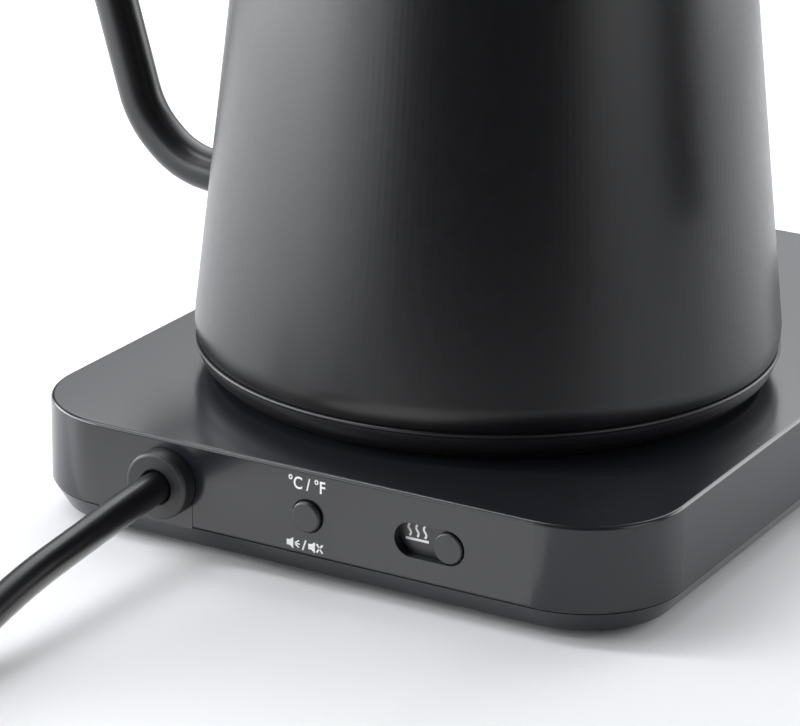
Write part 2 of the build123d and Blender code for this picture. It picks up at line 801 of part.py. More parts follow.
with BuildPart() as heating_element:
    with BuildSketch(Plane.XZ):
        with Locations((element_radius, heater_z - element_tube - 0.05)):
            Circle(element_tube)
    revolve(axis=Axis.Z, revolution_arc=300)
    # the two cold ends turn down to their terminals
    with BuildSketch(Plane.XY.offset(32.0)):
        for angle in (-1.5, 61.5):
            turn = radians(-angle)
            with Locations((element_radius * cos(turn), element_radius * sin(turn))):
                Circle(2.2)
    extrude(amount=heater_z - element_tube - 32.0)

with BuildPart() as temperature_probe:
    with BuildSketch(Plane.XY.offset(heater_z - 2.0)):
        with Locations((0, probe_y)):
            Circle(5.0)
    extrude(amount=1.95)
    with BuildSketch(Plane.XY.offset(heater_z - 6.0)):
        with Locations((0, probe_y)):
            Circle(2.5)
    extrude(amount=12.0)
    fillet(temperature_probe.faces().sort_by(Axis.Z)[-1].edges(), 1.5)

with BuildPart() as thermal_cutout:
    with BuildSketch(Plane.XY.offset(heater_z - 9.0)):
        with Locations((-26.8, 0)):
            RectangleRounded(11.2, 20.0, 1.5)
    extrude(amount=8.9)

# ---------------------------------------------------------------- cordless connector, kettle half
disc_foot = connector_top + 0.9

with BuildPart() as kettle_connector:
    with BuildSketch(Plane.XY.offset(disc_foot)):
        Circle(cup_radius - 0.5)
    extrude(amount=3.6)
    with BuildSketch(Plane.XY.offset(disc_foot - 6.0)):
        Circle(cup_radius - 0.5)
        Circle(cup_radius - 1.7, mode=Mode.SUBTRACT)
    extrude(amount=6.0)

with BuildPart() as kettle_contacts:
    with BuildSketch(Plane.XY.offset(slot_floor + 1.6)):
        Circle(12.5)
        Circle(11.3, mode=Mode.SUBTRACT)
        Circle(7.6)
        Circle(6.4, mode=Mode.SUBTRACT)
        Circle(1.9)
    extrude(amount=disc_foot - slot_floor - 1.6)

# ---------------------------------------------------------------- handle
arm_z = 154.0
arm_height = 5.0
arm_width = 14.0
arm_end = 88.0
grip_x = 104.0
grip_foot = 66.0

with BuildPart() as handle_bracket:
    with BuildSketch(Plane.XY.offset(arm_z - 8.0)):
        Rectangle(2 * arm_end, arm_width + 8)
    extrude(amount=16.0)
    with BuildSketch(Plane.XY.offset(arm_z - 8.0)):
        Circle(cone_at(arm_z - 8.0) + 1.6)
    with BuildSketch(Plane.XY.offset(arm_z + 8.0)):
        Circle(cone_at(arm_z + 8.0) + 1.6)
    loft(mode=Mode.INTERSECT)
    with BuildSketch(Plane.XY.offset(arm_z - arm_height / 2)):
        with Locations((arm_end / 2, 0)):
            Rectangle(arm_end, arm_width)
    extrude(amount=arm_height)
    with BuildSketch(Plane.XY.offset(arm_z - 8.0)):
        Circle(cone_at(arm_z - 8.0) + 0.02)
    with BuildSketch(Plane.XY.offset(arm_z + 8.0)):
        Circle(cone_at(arm_z + 8.0) + 0.02)
    loft(mode=Mode.SUBTRACT)
    split(bisect_by=Plane.YZ)
    with BuildSketch(Plane.XY.offset(arm_z - arm_height / 2)):
        with Locations((arm_end - 5, -4), (arm_end - 5, 4)):
            Circle(1.2)
    extrude(amount=arm_height, mode=Mode.SUBTRACT)

with BuildPart() as handle_grip:
    with BuildLine():
        FilletPolyline(
            (73.0, 0, arm_z), (grip_x, 0, arm_z), (grip_x + 3.0, 0, 110.0),
            (grip_x - 4.0, 0, grip_foot), radius=[20.0, 60.0],
        )
    with BuildSketch(Plane(origin=(73.0, 0, arm_z), x_dir=(0, 1, 0), z_dir=(1, 0, 0))):
        RectangleRounded(22.0, 15.0, 5.5)
    sweep()
    fillet(handle_grip.faces().sort_by(Axis.Z)[0].edges(), 3.0)
    with BuildSketch(Plane(origin=(73.0, 0, arm_z), x_dir=(0, 1, 0), z_dir=(1, 0, 0))):
        Rectangle(arm_width + 0.3, arm_height + 0.3)
    extrude(amount=arm_end - 73.0 + 0.3, mode=Mode.SUBTRACT)
    with BuildSketch(Plane.XY.offset(arm_z - 9.0)):
        with Locations((arm_end - 5, -4), (arm_end - 5, 4)):
            Circle(1.5)
    extrude(amount=9.0, mode=Mode.SUBTRACT)
    with BuildSketch(Plane.XY.offset(arm_z - 9.0)):
        with Locations((arm_end - 5, -4), (arm_end - 5, 4)):
            Circle(2.8)
    extrude(amount=3.2, mode=Mode.SUBTRACT)

with BuildPart() as handle_screws:
    with BuildSketch(Plane.XY.offset(arm_z - 7.4)):
        with Locations((arm_end - 5, -4), (arm_end - 5, 4)):
            Circle(2.5)
    extrude(amount=1.6)
    with BuildSketch(Plane.XY.offset(arm_z - 7.4)):
        with Locations((arm_end - 5, -4), (arm_end - 5, 4)):
            Circle(1.15)
    extrude(amount=9.6)
    with BuildSketch(Plane.XY.offset(arm_z - 7.4)):
        with Locations((arm_end - 5, -4), (arm_end - 5, 4)):
            Rectangle(2.8, 0.6)
            Rectangle(0.6, 2.8)
    extrude(amount=0.8, mode=Mode.SUBTRACT)

# ---------------------------------------------------------------- lid
lid_foot = body_top + 0.3
lid_radius = 47.4
cup_outer = 42.4
cup_depth = 12.0
vent_angles = (60, 90, 120)

with BuildPart() as lid_cover:
    with BuildSketch(Plane.XY.offset(lid_foot)):
        Circle(lid_radius)
    extrude(amount=1.4)
    fillet(lid_cover.faces().sort_by(Axis.Z)[-1].edges(), 0.9)
    with BuildSketch(Plane.XY.offset(lid_foot)):
        Circle(2.3)
        for angle in vent_angles:
            turn = radians(angle)
            with Locations((34.0 * cos(turn), 34.0 * sin(turn))):
                Circle(1.5)
    extrude(amount=1.4, mode=Mode.SUBTRACT)

with BuildPart() as lid_inner:
    with BuildSketch(Plane.XY.offset(lid_foot - cup_depth)):
        Circle(cup_outer)
    extrude(amount=cup_depth - 0.02)
    fillet(lid_inner.faces().sort_by(Axis.Z)[0].edges(), 2.0)
    with BuildSketch(Plane.XY.offset(lid_foot - cup_depth + 1.0)):
        Circle(cup_outer - 1.0)
    extrude(amount=cup_depth, mode=Mode.SUBTRACT)
    # a hub that the knob's screw goes through, and the vent holes
    with BuildSketch(Plane.XY.offset(lid_foot - cup_depth + 1.0)):
        Circle(4.5)
    extrude(amount=cup_depth - 1.02)
    with BuildSketch(Plane.XY.offset(lid_foot - cup_depth)):
        Circle(2.3)
        for angle in vent_angles:
            turn = radians(angle)
            with Locations((34.0 * cos(turn), 34.0 * sin(turn))):
                Circle(1.5)
    extrude(amount=cup_depth, mode=Mode.SUBTRACT)
    # groove for the seal
    with BuildSketch(Plane.XY.offset(lid_foot - 6.0)):
        Circle(cup_outer + 1)
        Circle(cup_outer - 0.4, mode=Mode.SUBTRACT)
    extrude(amount=3.0, mode=Mode.SUBTRACT)

with BuildPart() as lid_seal:
    with BuildSketch(Plane.XY.offset(lid_foot - 5.95)):
        Circle(mouth_radius - 0.3)
        Circle(cup_outer - 0.38, mode=Mode.SUBTRACT)
    extrude(amount=2.9)
    chamfer(lid_seal.faces().sort_by(Axis.Z)[0].outer_wire().edges(), 0.5)

knob_z = lid_foot + 1.42

with BuildPart() as lid_knob:
    with BuildSketch(Plane.XZ):
        with BuildLine():
            Polyline((0, knob_z), (9.0, knob_z), (9.0, knob_z + 1.2))
            ThreePointArc((9.0, knob_z + 1.2), (7.9, knob_z + 5.0), (10.4, knob_z + 9.4))
            ThreePointArc((10.4, knob_z + 9.4), (11.6, knob_z + 12.3), (10.2, knob_z + 14.6))
            TangentArc((0, knob_z + 16.0), (10.2, knob_z + 14.6), tangent=(1, 0))
            Line((0, knob_z + 16.0), (0, knob_z))
        make_face()
    revolve(axis=Axis.Z)
    with BuildSketch(Plane.XY.offset(knob_z)):
        Circle(1.9)
    extrude(amount=9.0, mode=Mode.SUBTRACT)

with BuildPart() as lid_screw:
    with BuildSketch(Plane.XY.offset(lid_foot - cup_depth - 2.0)):
        Circle(4.0)
    extrude(amount=1.98)
    with BuildSketch(Plane.XY.offset(lid_foot - cup_depth - 2.0)):
        Circle(1.85)
    extrude(amount=21.5)
    with BuildSketch(Plane.XY.offset(lid_foot - cup_depth - 2.0)):
        Rectangle(4.6, 0.9)
        Rectangle(0.9, 4.6)
    extrude(amount=1.0, mode=Mode.SUBTRACT)

# ---------------------------------------------------------------- one STEP for each piece
pieces = {
    "base_housing": base_housing,
    "base_tray": base_tray,
    "rubber_feet": rubber_feet,
    "base_screws": base_screws,
    "control_board": control_board,
    "display_window": display_window,
    "display_module": display_module,
    "encoder_body": encoder_body,
    "encoder_shaft": encoder_shaft,
    "control_knob": control_knob,
    "power_button": power_button,
    "power_switch": power_switch,
    "power_board": power_board,
    "power_relay": power_relay,
    "power_transformer": power_transformer,
    "power_capacitors": power_capacitors,
    "buzzer": buzzer,
    "base_connector": base_connector,
    "base_contacts": base_contacts,
    "connector_screws": connector_screws,
    "rear_board": rear_board,
    "unit_button": unit_button,
    "unit_switch": unit_switch,
    "keep_warm_slider": keep_warm_slider,
    "slide_switch": slide_switch,
    "cord_gland": cord_gland,
    "lead_wires": lead_wires,
    "power_cord": power_cord,
    "cord_coil": cord_coil,
    "cord_tie": cord_tie,
    "plug_body": plug_body,
    "plug_blades": plug_blades,
    "plug_ground_pin": plug_ground_pin,
    "body_shell": body_shell,
    "spout": spout,
    "lower_ring": lower_ring,
    "bottom_cover": bottom_cover,
    "bottom_screws": bottom_screws,
    "heater_plate": heater_plate,
    "heating_element": heating_element,
    "temperature_probe": temperature_probe,
    "thermal_cutout": thermal_cutout,
    "kettle_connector": kettle_connector,
    "kettle_contacts": kettle_contacts,
    "handle_bracket": handle_bracket,
    "handle_grip": handle_grip,
    "handle_screws": handle_screws,
    "lid_cover": lid_cover,
    "lid_inner": lid_inner,
    "lid_seal": lid_seal,
    "lid_knob": lid_knob,
    "lid_screw": lid_screw,
}

for name, piece in pieces.items():
    piece.part.label = name
    export_step(piece.part, f"parts/{name}.step")
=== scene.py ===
# Electric gooseneck kettle standing on its powered base, with its mains lead.
from math import atan2, cos, degrees, hypot, pi, radians, sin

import bmesh
import bpy
from mathutils import Matrix, Vector


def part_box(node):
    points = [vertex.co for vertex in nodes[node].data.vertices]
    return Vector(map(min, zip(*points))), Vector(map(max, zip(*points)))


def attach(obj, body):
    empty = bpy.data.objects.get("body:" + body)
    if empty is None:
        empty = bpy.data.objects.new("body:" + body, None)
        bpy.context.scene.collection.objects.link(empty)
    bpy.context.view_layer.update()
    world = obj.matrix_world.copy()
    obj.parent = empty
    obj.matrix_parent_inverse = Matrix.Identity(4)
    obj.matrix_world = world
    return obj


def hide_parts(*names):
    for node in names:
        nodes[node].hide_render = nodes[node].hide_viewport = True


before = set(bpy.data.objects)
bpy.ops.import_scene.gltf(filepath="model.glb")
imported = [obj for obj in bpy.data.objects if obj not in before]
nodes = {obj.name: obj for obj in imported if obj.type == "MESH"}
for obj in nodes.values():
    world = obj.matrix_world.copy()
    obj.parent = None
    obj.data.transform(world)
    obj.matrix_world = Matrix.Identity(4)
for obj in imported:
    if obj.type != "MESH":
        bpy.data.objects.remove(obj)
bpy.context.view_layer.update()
scene = bpy.context.scene
print("frame loaded:", len(nodes), "nodes")


# ---- camera
cameraSetup = {
    "place": (0.362386, -0.678008, 0.304916),
    "azimuth": 29.568,  # degrees round from the rear face
    "elevation": 19.991,
    "roll": 0.700,
    "lens": 164.9,  # mm on a 36 mm sensor
}


def makeCamera(setup):
    data = bpy.data.cameras.new("viewCamera")
    data.lens = setup["lens"]
    data.sensor_width = 36.0
    data.clip_start, data.clip_end = 0.02, 40.0
    camera = bpy.data.objects.new("viewCamera", data)
    turn, rise, roll = (radians(setup[key]) for key in ("azimuth", "elevation", "roll"))
    back = Vector((sin(turn) * cos(rise), -cos(turn) * cos(rise), sin(rise)))
    level = Vector((cos(turn), sin(turn), 0))
    upright = back.cross(level)
    side = cos(roll) * level + sin(roll) * upright
    upward = cos(roll) * upright - sin(roll) * level
    camera.matrix_world = Matrix.Translation(setup["place"]) @ Matrix(
        (side, upward, back)
    ).transposed().to_4x4()
    scene.collection.objects.link(camera)
    scene.camera = camera


makeCamera(cameraSetup)


# ---- mains lead: out of the gland, down to the table, into its coil and up to the plug
leadSetup = {
    "radius": 0.0035,
    "route": [
        (-0.035, -0.0792, 0.01635),
        (-0.035, -0.0915, 0.0158),
        (-0.0349, -0.109, 0.0143),
        (-0.035, -0.1295, 0.0123),
        (-0.0354, -0.149, 0.0074),
        (-0.0363, -0.167, 0.0036),
        (-0.037, -0.185, 0.00355),
    ],
    "coilCentre": (-0.0795, -0.196),
    "outerTurn": 0.0425,
    "innerTurn": 0.0355,
    "topTurn": 0.039,
    "tieAngle": -60.0,
    "pointsPerTurn": 16,
    "turns": 2.5,
    "plugHeight": 0.013,
    "plugEnd": (-0.1968, -0.1845),  # Y of the last points, inside the plug's relief
    # degrees swept round the coil between which each change happens, and its size
    "stepIn": (285, 360),
    "stepOut": (600, 680),
    "climb": (560, 665),
    "climbBy": 0.0072,
    "settle": (700, 760),
    "settleBy": 0.0008,
    "riseToPlug": (800, 890),
    "underTie": (12, 40),  # degrees from the strap over which the lead comes down from it
    "tieLift": 0.001,
}


def between(value, low, high):
    share = min(1.0, max(0.0, (value - low) / (high - low)))
    return share * share * (3 - 2 * share)


def coilPoint(setup, swept):
    # how far out and how high the lead runs after this many degrees of the coil
    inner = setup["innerTurn"]
    radius = setup["outerTurn"] + (inner - setup["outerTurn"]) * between(swept, *setup["stepIn"])
    radius += (setup["topTurn"] - inner) * between(swept, *setup["stepOut"])
    height = setup["radius"] + setup["climbBy"] * between(swept, *setup["climb"])
    height -= setup["settleBy"] * between(swept, *setup["settle"])
    lastRise = setup["plugHeight"] - setup["radius"] - setup["climbBy"] + setup["settleBy"]
    height += lastRise * between(swept, *setup["riseToPlug"])
    angle = (-swept - setup["tieAngle"] + 180) % 360 - 180
    height += setup["tieLift"] * (1 - between(abs(angle), *setup["underTie"]))
    centreX, centreY = setup["coilCentre"]
    grown = radius / cos(pi / setup["pointsPerTurn"])  # the spline runs inside its control points
    turn = radians(-swept)
    return (centreX + grown * cos(turn), centreY + grown * sin(turn), height)


def leadPoints(setup):
    points = list(setup["route"])
    step = 360.0 / setup["pointsPerTurn"]
    count = int(setup["turns"] * setup["pointsPerTurn"])
    points += [coilPoint(setup, (index + 0.5) * step) for index in range(count)]
    plugX = setup["coilCentre"][0] - setup["topTurn"]
    return points + [(plugX, y, setup["plugHeight"]) for y in setup["plugEnd"]]


def makeLead(setup):
    curve = bpy.data.curves.new("mainsLead", "CURVE")
    curve.dimensions = "3D"
    curve.bevel_depth = 1.0  # times each point's radius
    curve.bevel_resolution = 7
    curve.resolution_u = 10
    curve.use_fill_caps = True
    points = leadPoints(setup)
    spline = curve.splines.new("NURBS")
    spline.points.add(len(points) - 1)
    for point, place in zip(spline.points, points):
        point.co = (*place, 1.0)
        point.radius = setup["radius"]
    spline.order_u = 3
    spline.use_endpoint_u = True
    lead = bpy.data.objects.new("mainsLead", curve)
    scene.collection.objects.link(lead)
    return lead


mainsLead = makeLead(leadSetup)
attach(mainsLead, "base")
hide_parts("power_cord", "cord_coil")
print("camera and lead made")


# ---- finishes
def hexColour(code):
    channels = [int(code[place:place + 2], 16) / 255 for place in (1, 3, 5)]
    return (*(c / 12.92 if c <= 0.04045 else ((c + 0.055) / 1.055) ** 2.4 for c in channels), 1.0)


def addNode(tree, kind, settings=None, links=None):
    node = tree.nodes.new(kind)
    for name, value in (settings or {}).items():
        if isinstance(name, str) and hasattr(node, name):
            setattr(node, name, value)
        else:
            node.inputs[name].default_value = value
    for name, source in (links or {}).items():
        tree.links.new(source, node.inputs[name])
    return node


def newMaterial(name):
    material = bpy.data.materials.new(name)
    material.use_nodes = True
    tree = material.node_tree
    tree.nodes.clear()
    shader = addNode(tree, "ShaderNodeBsdfPrincipled")
    addNode(tree, "ShaderNodeOutputMaterial", links={"Surface": shader.outputs["BSDF"]})
    return material, tree, shader


def surfaceFinish(name, look):
    # grain and a slower wave press into the surface, and the wave shifts gloss and shade a little
    material, tree, shader = newMaterial(name)
    for key, socket in (
        ("metallic", "Metallic"), ("ior", "IOR"), ("coat", "Coat Weight"),
        ("coatRoughness", "Coat Roughness"), ("transmission", "Transmission Weight"),
        ("sheen", "Sheen Weight"), ("anisotropy", "Anisotropic"),
    ):
        if key in look:
            shader.inputs[socket].default_value = look[key]
    place = addNode(tree, "ShaderNodeTexCoord").outputs["Object"]
    if "stretch" in look:
        stretched = addNode(tree, "ShaderNodeMapping", {"Scale": look["stretch"]}, {"Vector": place})
        place = stretched.outputs["Vector"]
    grain = addNode(
        tree, "ShaderNodeTexNoise", {"Scale": 1000 / look["grain"], "Detail": 2.0, "Roughness": 0.55},
        {"Vector": place},
    ).outputs["Fac"]
    wave = addNode(
        tree, "ShaderNodeTexNoise", {"Scale": 1000 / look["wave"], "Detail": 3.0, "Roughness": 0.5},
        {"Vector": place},
    ).outputs["Fac"]
    fine = addNode(
        tree, "ShaderNodeBump", {"Strength": 1.0, "Distance": look["grainDepth"] / 1000}, {"Height": grain},
    )
    broad = addNode(
        tree, "ShaderNodeBump", {"Strength": 1.0, "Distance": look["waveDepth"] / 1000},
        {"Height": wave, "Normal": fine.outputs["Normal"]},
    )
    gloss = addNode(
        tree, "ShaderNodeMapRange",
        {"From Min": 0.3, "From Max": 0.7, "To Min": look["roughness"] - look["glossSpread"],
         "To Max": look["roughness"] + look["glossSpread"]},
        {"Value": wave},
    )
    shade = addNode(tree, "ShaderNodeMix", {"data_type": "RGBA"}, {"Factor": wave})
    shade.inputs[6].default_value = hexColour(look["colour"])
    shade.inputs[7].default_value = hexColour(look["shade"])
    tree.links.new(shade.outputs[2], shader.inputs["Base Color"])
    tree.links.new(gloss.outputs["Result"], shader.inputs["Roughness"])
    tree.links.new(broad.outputs["Normal"], shader.inputs["Normal"])
    return material


# sizes in mm: grain and wave are spacings, the depths are how far they press in
powderCoat = surfaceFinish("blackPowderCoat", {  # polyester powder on steel: satin, faint orange peel
    "colour": "#0b0b0d", "shade": "#0e0e10", "roughness": 0.32, "glossSpread": 0.015, "ior": 1.5,
    "grain": 0.5, "grainDepth": 0.0035, "wave": 2.4, "waveDepth": 0.006,
})
texturedAbs = surfaceFinish("sparkTexturedAbs", {  # moulded ABS with a fine spark texture: broad soft sheen
    "colour": "#1f2025", "shade": "#212227", "roughness": 0.2, "glossSpread": 0.006, "ior": 1.53,
    "grain": 0.6, "grainDepth": 0.0015, "wave": 16.0, "waveDepth": 0.001,
})
satinPolypropylene = surfaceFinish("satinPolypropylene", {  # kettle underside mouldings: plain satin black
    "colour": "#1b1b1d", "shade": "#1e1e20", "roughness": 0.33, "glossSpread": 0.02, "ior": 1.49,
    "grain": 0.5, "grainDepth": 0.004, "wave": 6.0, "waveDepth": 0.004,
})
controlAbs = surfaceFinish("smoothControlAbs", {  # button, tab and dial: smoother mould than the casing
    "colour": "#1d1e21", "shade": "#202124", "roughness": 0.36, "glossSpread": 0.02, "ior": 1.53,
    "grain": 0.4, "grainDepth": 0.003, "wave": 3.0, "waveDepth": 0.003,
})
glandRubber = surfaceFinish("softPvcGland", {  # soft moulded PVC: dull with a wide highlight
    "colour": "#1a1b1d", "shade": "#1e1f21", "roughness": 0.45, "glossSpread": 0.03, "ior": 1.5,
    "grain": 0.4, "grainDepth": 0.006, "wave": 3.0, "waveDepth": 0.01,
})
leadPvc = surfaceFinish("leadPvcJacket", {  # extruded PVC jacket: glossy, slightly uneven along its length
    "colour": "#111114", "shade": "#151518", "roughness": 0.32, "glossSpread": 0.03, "ior": 1.53,
    "grain": 0.8, "grainDepth": 0.004, "wave": 9.0, "waveDepth": 0.03,
})
footRubber = surfaceFinish("footRubber", {  # nitrile feet: dull dark grey
    "colour": "#242425", "shade": "#2b2b2c", "roughness": 0.75, "glossSpread": 0.04, "ior": 1.5,
    "grain": 0.5, "grainDepth": 0.02, "wave": 3.0, "waveDepth": 0.01,
})
tieFabric = surfaceFinish("hookTieNylon", {  # woven nylon strap: dull, small loops
    "colour": "#1a1a1b", "shade": "#272728", "roughness": 0.85, "glossSpread": 0.05, "ior": 1.5,
    "sheen": 0.3, "grain": 0.5, "grainDepth": 0.12, "wave": 1.6, "waveDepth": 0.05,
})
gripNylon = surfaceFinish("handleNylon", {  # glass-filled nylon handle: dry satin
    "colour": "#18181a", "shade": "#1d1d1f", "roughness": 0.5, "glossSpread": 0.03, "ior": 1.53,
    "grain": 0.4, "grainDepth": 0.008, "wave": 5.0, "waveDepth": 0.005,
})
sealSilicone = surfaceFinish("sealSilicone", {  # translucent grey silicone lid seal
    "colour": "#8d9093", "shade": "#9a9da0", "roughness": 0.5, "glossSpread": 0.04, "ior": 1.41,
    "grain": 0.6, "grainDepth": 0.006, "wave": 3.0, "waveDepth": 0.01,
})
displayAcrylic = surfaceFinish("smokedAcrylic", {  # smoked acrylic window: dark and glossy
    "colour": "#08080a", "shade": "#0a0a0c", "roughness": 0.07, "glossSpread": 0.01, "ior": 1.49,
    "grain": 2.0, "grainDepth": 0.0006, "wave": 12.0, "waveDepth": 0.003,
})
casePlastic = surfaceFinish("componentPhenolic", {  # encapsulated parts on the boards
    "colour": "#232325", "shade": "#2b2b2d", "roughness": 0.5, "glossSpread": 0.05, "ior": 1.55,
    "grain": 0.5, "grainDepth": 0.006, "wave": 3.0, "waveDepth": 0.006,
})
relayPbt = surfaceFinish("relayPbt", {  # pale blue relay case
    "colour": "#2f5f9a", "shade": "#3a69a2", "roughness": 0.4, "glossSpread": 0.04, "ior": 1.55,
    "grain": 0.5, "grainDepth": 0.004, "wave": 3.0, "waveDepth": 0.004,
})
boardLaminate = surfaceFinish("glassLaminate", {  # solder-masked glass laminate
    "colour": "#0f4a2a", "shade": "#14552f", "roughness": 0.35, "glossSpread": 0.06, "ior": 1.55,
    "grain": 0.5, "grainDepth": 0.01, "wave": 2.5, "waveDepth": 0.01,
})
wirePvc = surfaceFinish("wirePvc", {  # thin-wall PVC insulation
    "colour": "#7a4a1c", "shade": "#86521f", "roughness": 0.4, "glossSpread": 0.04, "ior": 1.53,
    "grain": 0.6, "grainDepth": 0.004, "wave": 3.0, "waveDepth": 0.006,
})
contactBrass = surfaceFinish("contactBrass", {  # pressed brass contact rings
    "colour": "#c9a24e", "shade": "#b88f40", "roughness": 0.28, "glossSpread": 0.06, "metallic": 1.0,
    "grain": 0.5, "grainDepth": 0.003, "wave": 3.0, "waveDepth": 0.004,
})
plugNickel = surfaceFinish("nickelPlate", {  # nickel plated brass pins
    "colour": "#c8c4ba", "shade": "#b9b5ab", "roughness": 0.22, "glossSpread": 0.05, "metallic": 1.0,
    "grain": 0.4, "grainDepth": 0.002, "wave": 2.0, "waveDepth": 0.003,
})
zincSteel = surfaceFinish("zincPlatedSteel", {  # zinc plated screws
    "colour": "#a9abad", "shade": "#8e9194", "roughness": 0.35, "glossSpread": 0.08, "metallic": 1.0,
    "grain": 0.3, "grainDepth": 0.003, "wave": 1.2, "waveDepth": 0.004,
})
brushedSteel = surfaceFinish("brushedStainless", {  # brushed stainless inside the kettle
    "colour": "#b5b3af", "shade": "#a3a19d", "roughness": 0.3, "glossSpread": 0.05, "metallic": 1.0,
    "stretch": (1.0, 1.0, 0.04), "grain": 0.4, "grainDepth": 0.004, "wave": 4.0, "waveDepth": 0.004,
})
whiteInk = surfaceFinish("padPrintedInk", {  # pad printed white ink: flat, a little chalky
    "colour": "#f6f6f4", "shade": "#eeeeec", "roughness": 0.5, "glossSpread": 0.04, "ior": 1.5,
    "grain": 0.3, "grainDepth": 0.001, "wave": 1.5, "waveDepth": 0.001,
})

finishOf = {
    "base_housing": texturedAbs, "base_tray": texturedAbs, "rubber_feet": footRubber,
    "base_screws": zincSteel, "control_board": boardLaminate, "display_window": displayAcrylic,
    "display_module": casePlastic, "encoder_body": casePlastic, "encoder_shaft": zincSteel,
    "control_knob": controlAbs, "power_button": controlAbs, "power_switch": casePlastic,
    "power_board": boardLaminate, "power_relay": relayPbt, "power_transformer": casePlastic,
    "power_capacitors": casePlastic, "buzzer": casePlastic, "base_connector": satinPolypropylene,
    "base_contacts": contactBrass, "connector_screws": zincSteel, "rear_board": boardLaminate,
    "unit_button": controlAbs, "unit_switch": casePlastic, "keep_warm_slider": controlAbs,
    "slide_switch": casePlastic, "cord_gland": glandRubber, "lead_wires": wirePvc,
    "power_cord": leadPvc, "cord_coil": leadPvc, "cord_tie": tieFabric, "plug_body": glandRubber,
    "plug_blades": plugNickel, "plug_ground_pin": plugNickel, "body_shell": powderCoat,
    "spout": powderCoat, "lower_ring": satinPolypropylene, "bottom_cover": satinPolypropylene,
    "bottom_screws": zincSteel, "heater_plate": brushedSteel, "heating_element": brushedSteel,
    "temperature_probe": brushedSteel, "thermal_cutout": casePlastic,
    "kettle_connector": satinPolypropylene, "kettle_contacts": contactBrass,
    "handle_bracket": powderCoat, "handle_grip": gripNylon, "handle_screws": zincSteel,
    "lid_cover": powderCoat, "lid_inner": brushedSteel, "lid_seal": sealSilicone,
    "lid_knob": gripNylon, "lid_screw": zincSteel,
}
for name, material in finishOf.items():
    data = nodes[name].data
    data.materials.clear()
    data.materials.append(material)
mainsLead.data.materials.append(leadPvc)
print("finishes made:", len(set(finishOf.values())))


# ---- pieces that the frame's plain solids stand in for
def millimetres(*points):
    return [tuple(value / 1000 for value in point) for point in points]


def bentLine(start, corner, end, count):
    # a smooth bend from start to end that leans on the corner
    steps = [index / count for index in range(count + 1)]
    return [
        tuple((1 - t) ** 2 * a + 2 * t * (1 - t) * c + t * t * b for a, c, b in zip(start, corner, end))
        for t in steps
    ]


def addPiece(name, mesh, body, slot, *replaced):
    piece = bpy.data.objects.new(name, mesh)
    scene.collection.objects.link(piece)
    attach(piece, body)
    if replaced:
        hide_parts(*replaced)
    return piece


def addInput(tree, name, kind, value=None):
    socket = tree.interface.new_socket(name, in_out="INPUT", socket_type=kind)
    if value is not None:
        socket.default_value = value


def turnedTree():
    # turns a profile (radius along X, height along Z) once round the Z axis
    tree = bpy.data.node_groups.new("turnedPiece", "GeometryNodeTree")
    addInput(tree, "Profile", "NodeSocketGeometry")
    addInput(tree, "Facets", "NodeSocketInt", 96)
    addInput(tree, "Profile Points", "NodeSocketInt", 10)
    addInput(tree, "Crease Angle", "NodeSocketFloat", radians(38))
    addInput(tree, "Finish", "NodeSocketMaterial")
    tree.interface.new_socket("Geometry", in_out="OUTPUT", socket_type="NodeSocketGeometry")
    given = addNode(tree, "NodeGroupInput").outputs
    columns = addNode(tree, "ShaderNodeMath", {"operation": "ADD", 1: 1.0}, {0: given["Facets"]})
    sheet = addNode(
        tree, "GeometryNodeMeshGrid", {"Size X": 1.0, "Size Y": 1.0},
        {"Vertices X": columns.outputs[0], "Vertices Y": given["Profile Points"]},
    )
    position = addNode(tree, "GeometryNodeInputPosition").outputs[0]
    spot = addNode(tree, "ShaderNodeSeparateXYZ", links={"Vector": position})
    angle = addNode(tree, "ShaderNodeMath", {"operation": "MULTIPLY", 1: 2 * pi}, {0: spot.outputs["X"]})
    along = addNode(tree, "ShaderNodeMath", {"operation": "ADD", 1: 0.5}, {0: spot.outputs["Y"]})
    last = addNode(tree, "ShaderNodeMath", {"operation": "SUBTRACT", 1: 1.0}, {0: given["Profile Points"]})
    row = addNode(
        tree, "ShaderNodeMath", {"operation": "MULTIPLY"}, {0: along.outputs[0], 1: last.outputs[0]},
    )
    index = addNode(tree, "FunctionNodeFloatToInt", {"rounding_mode": "ROUND"}, {"Float": row.outputs[0]})
    point = addNode(tree, "GeometryNodeSampleIndex", {"data_type": "FLOAT_VECTOR"}, {
        "Geometry": given["Profile"], "Value": position, "Index": index.outputs[0],
    })
    turned = addNode(
        tree, "ShaderNodeVectorRotate", {"rotation_type": "Z_AXIS"},
        {"Vector": point.outputs["Value"], "Angle": angle.outputs[0]},
    )
    placed = addNode(
        tree, "GeometryNodeSetPosition",
        links={"Geometry": sheet.outputs["Mesh"], "Position": turned.outputs[0]},
    )
    merged = addNode(tree, "GeometryNodeMergeByDistance", {"Distance": 1e-7}, {"Geometry": placed.outputs[0]})
    edge = addNode(tree, "GeometryNodeInputMeshEdgeAngle")
    soft = addNode(
        tree, "FunctionNodeCompare", {"data_type": "FLOAT", "operation": "LESS_THAN"},
        {0: edge.outputs["Unsigned Angle"], 1: given["Crease Angle"]},
    )
    smooth = addNode(
        tree, "GeometryNodeSetShadeSmooth", {"domain": "EDGE"},
        {"Geometry": merged.outputs[0], "Shade Smooth": soft.outputs[0]},
    )
    real = addNode(tree, "GeometryNodeRealizeInstances", links={"Geometry": smooth.outputs[0]})
    finished = addNode(
        tree, "GeometryNodeSetMaterial", links={"Geometry": real.outputs[0], "Material": given["Finish"]},
    )
    addNode(tree, "NodeGroupOutput", links={"Geometry": finished.outputs[0]})
    return tree


turnedPiece = turnedTree()


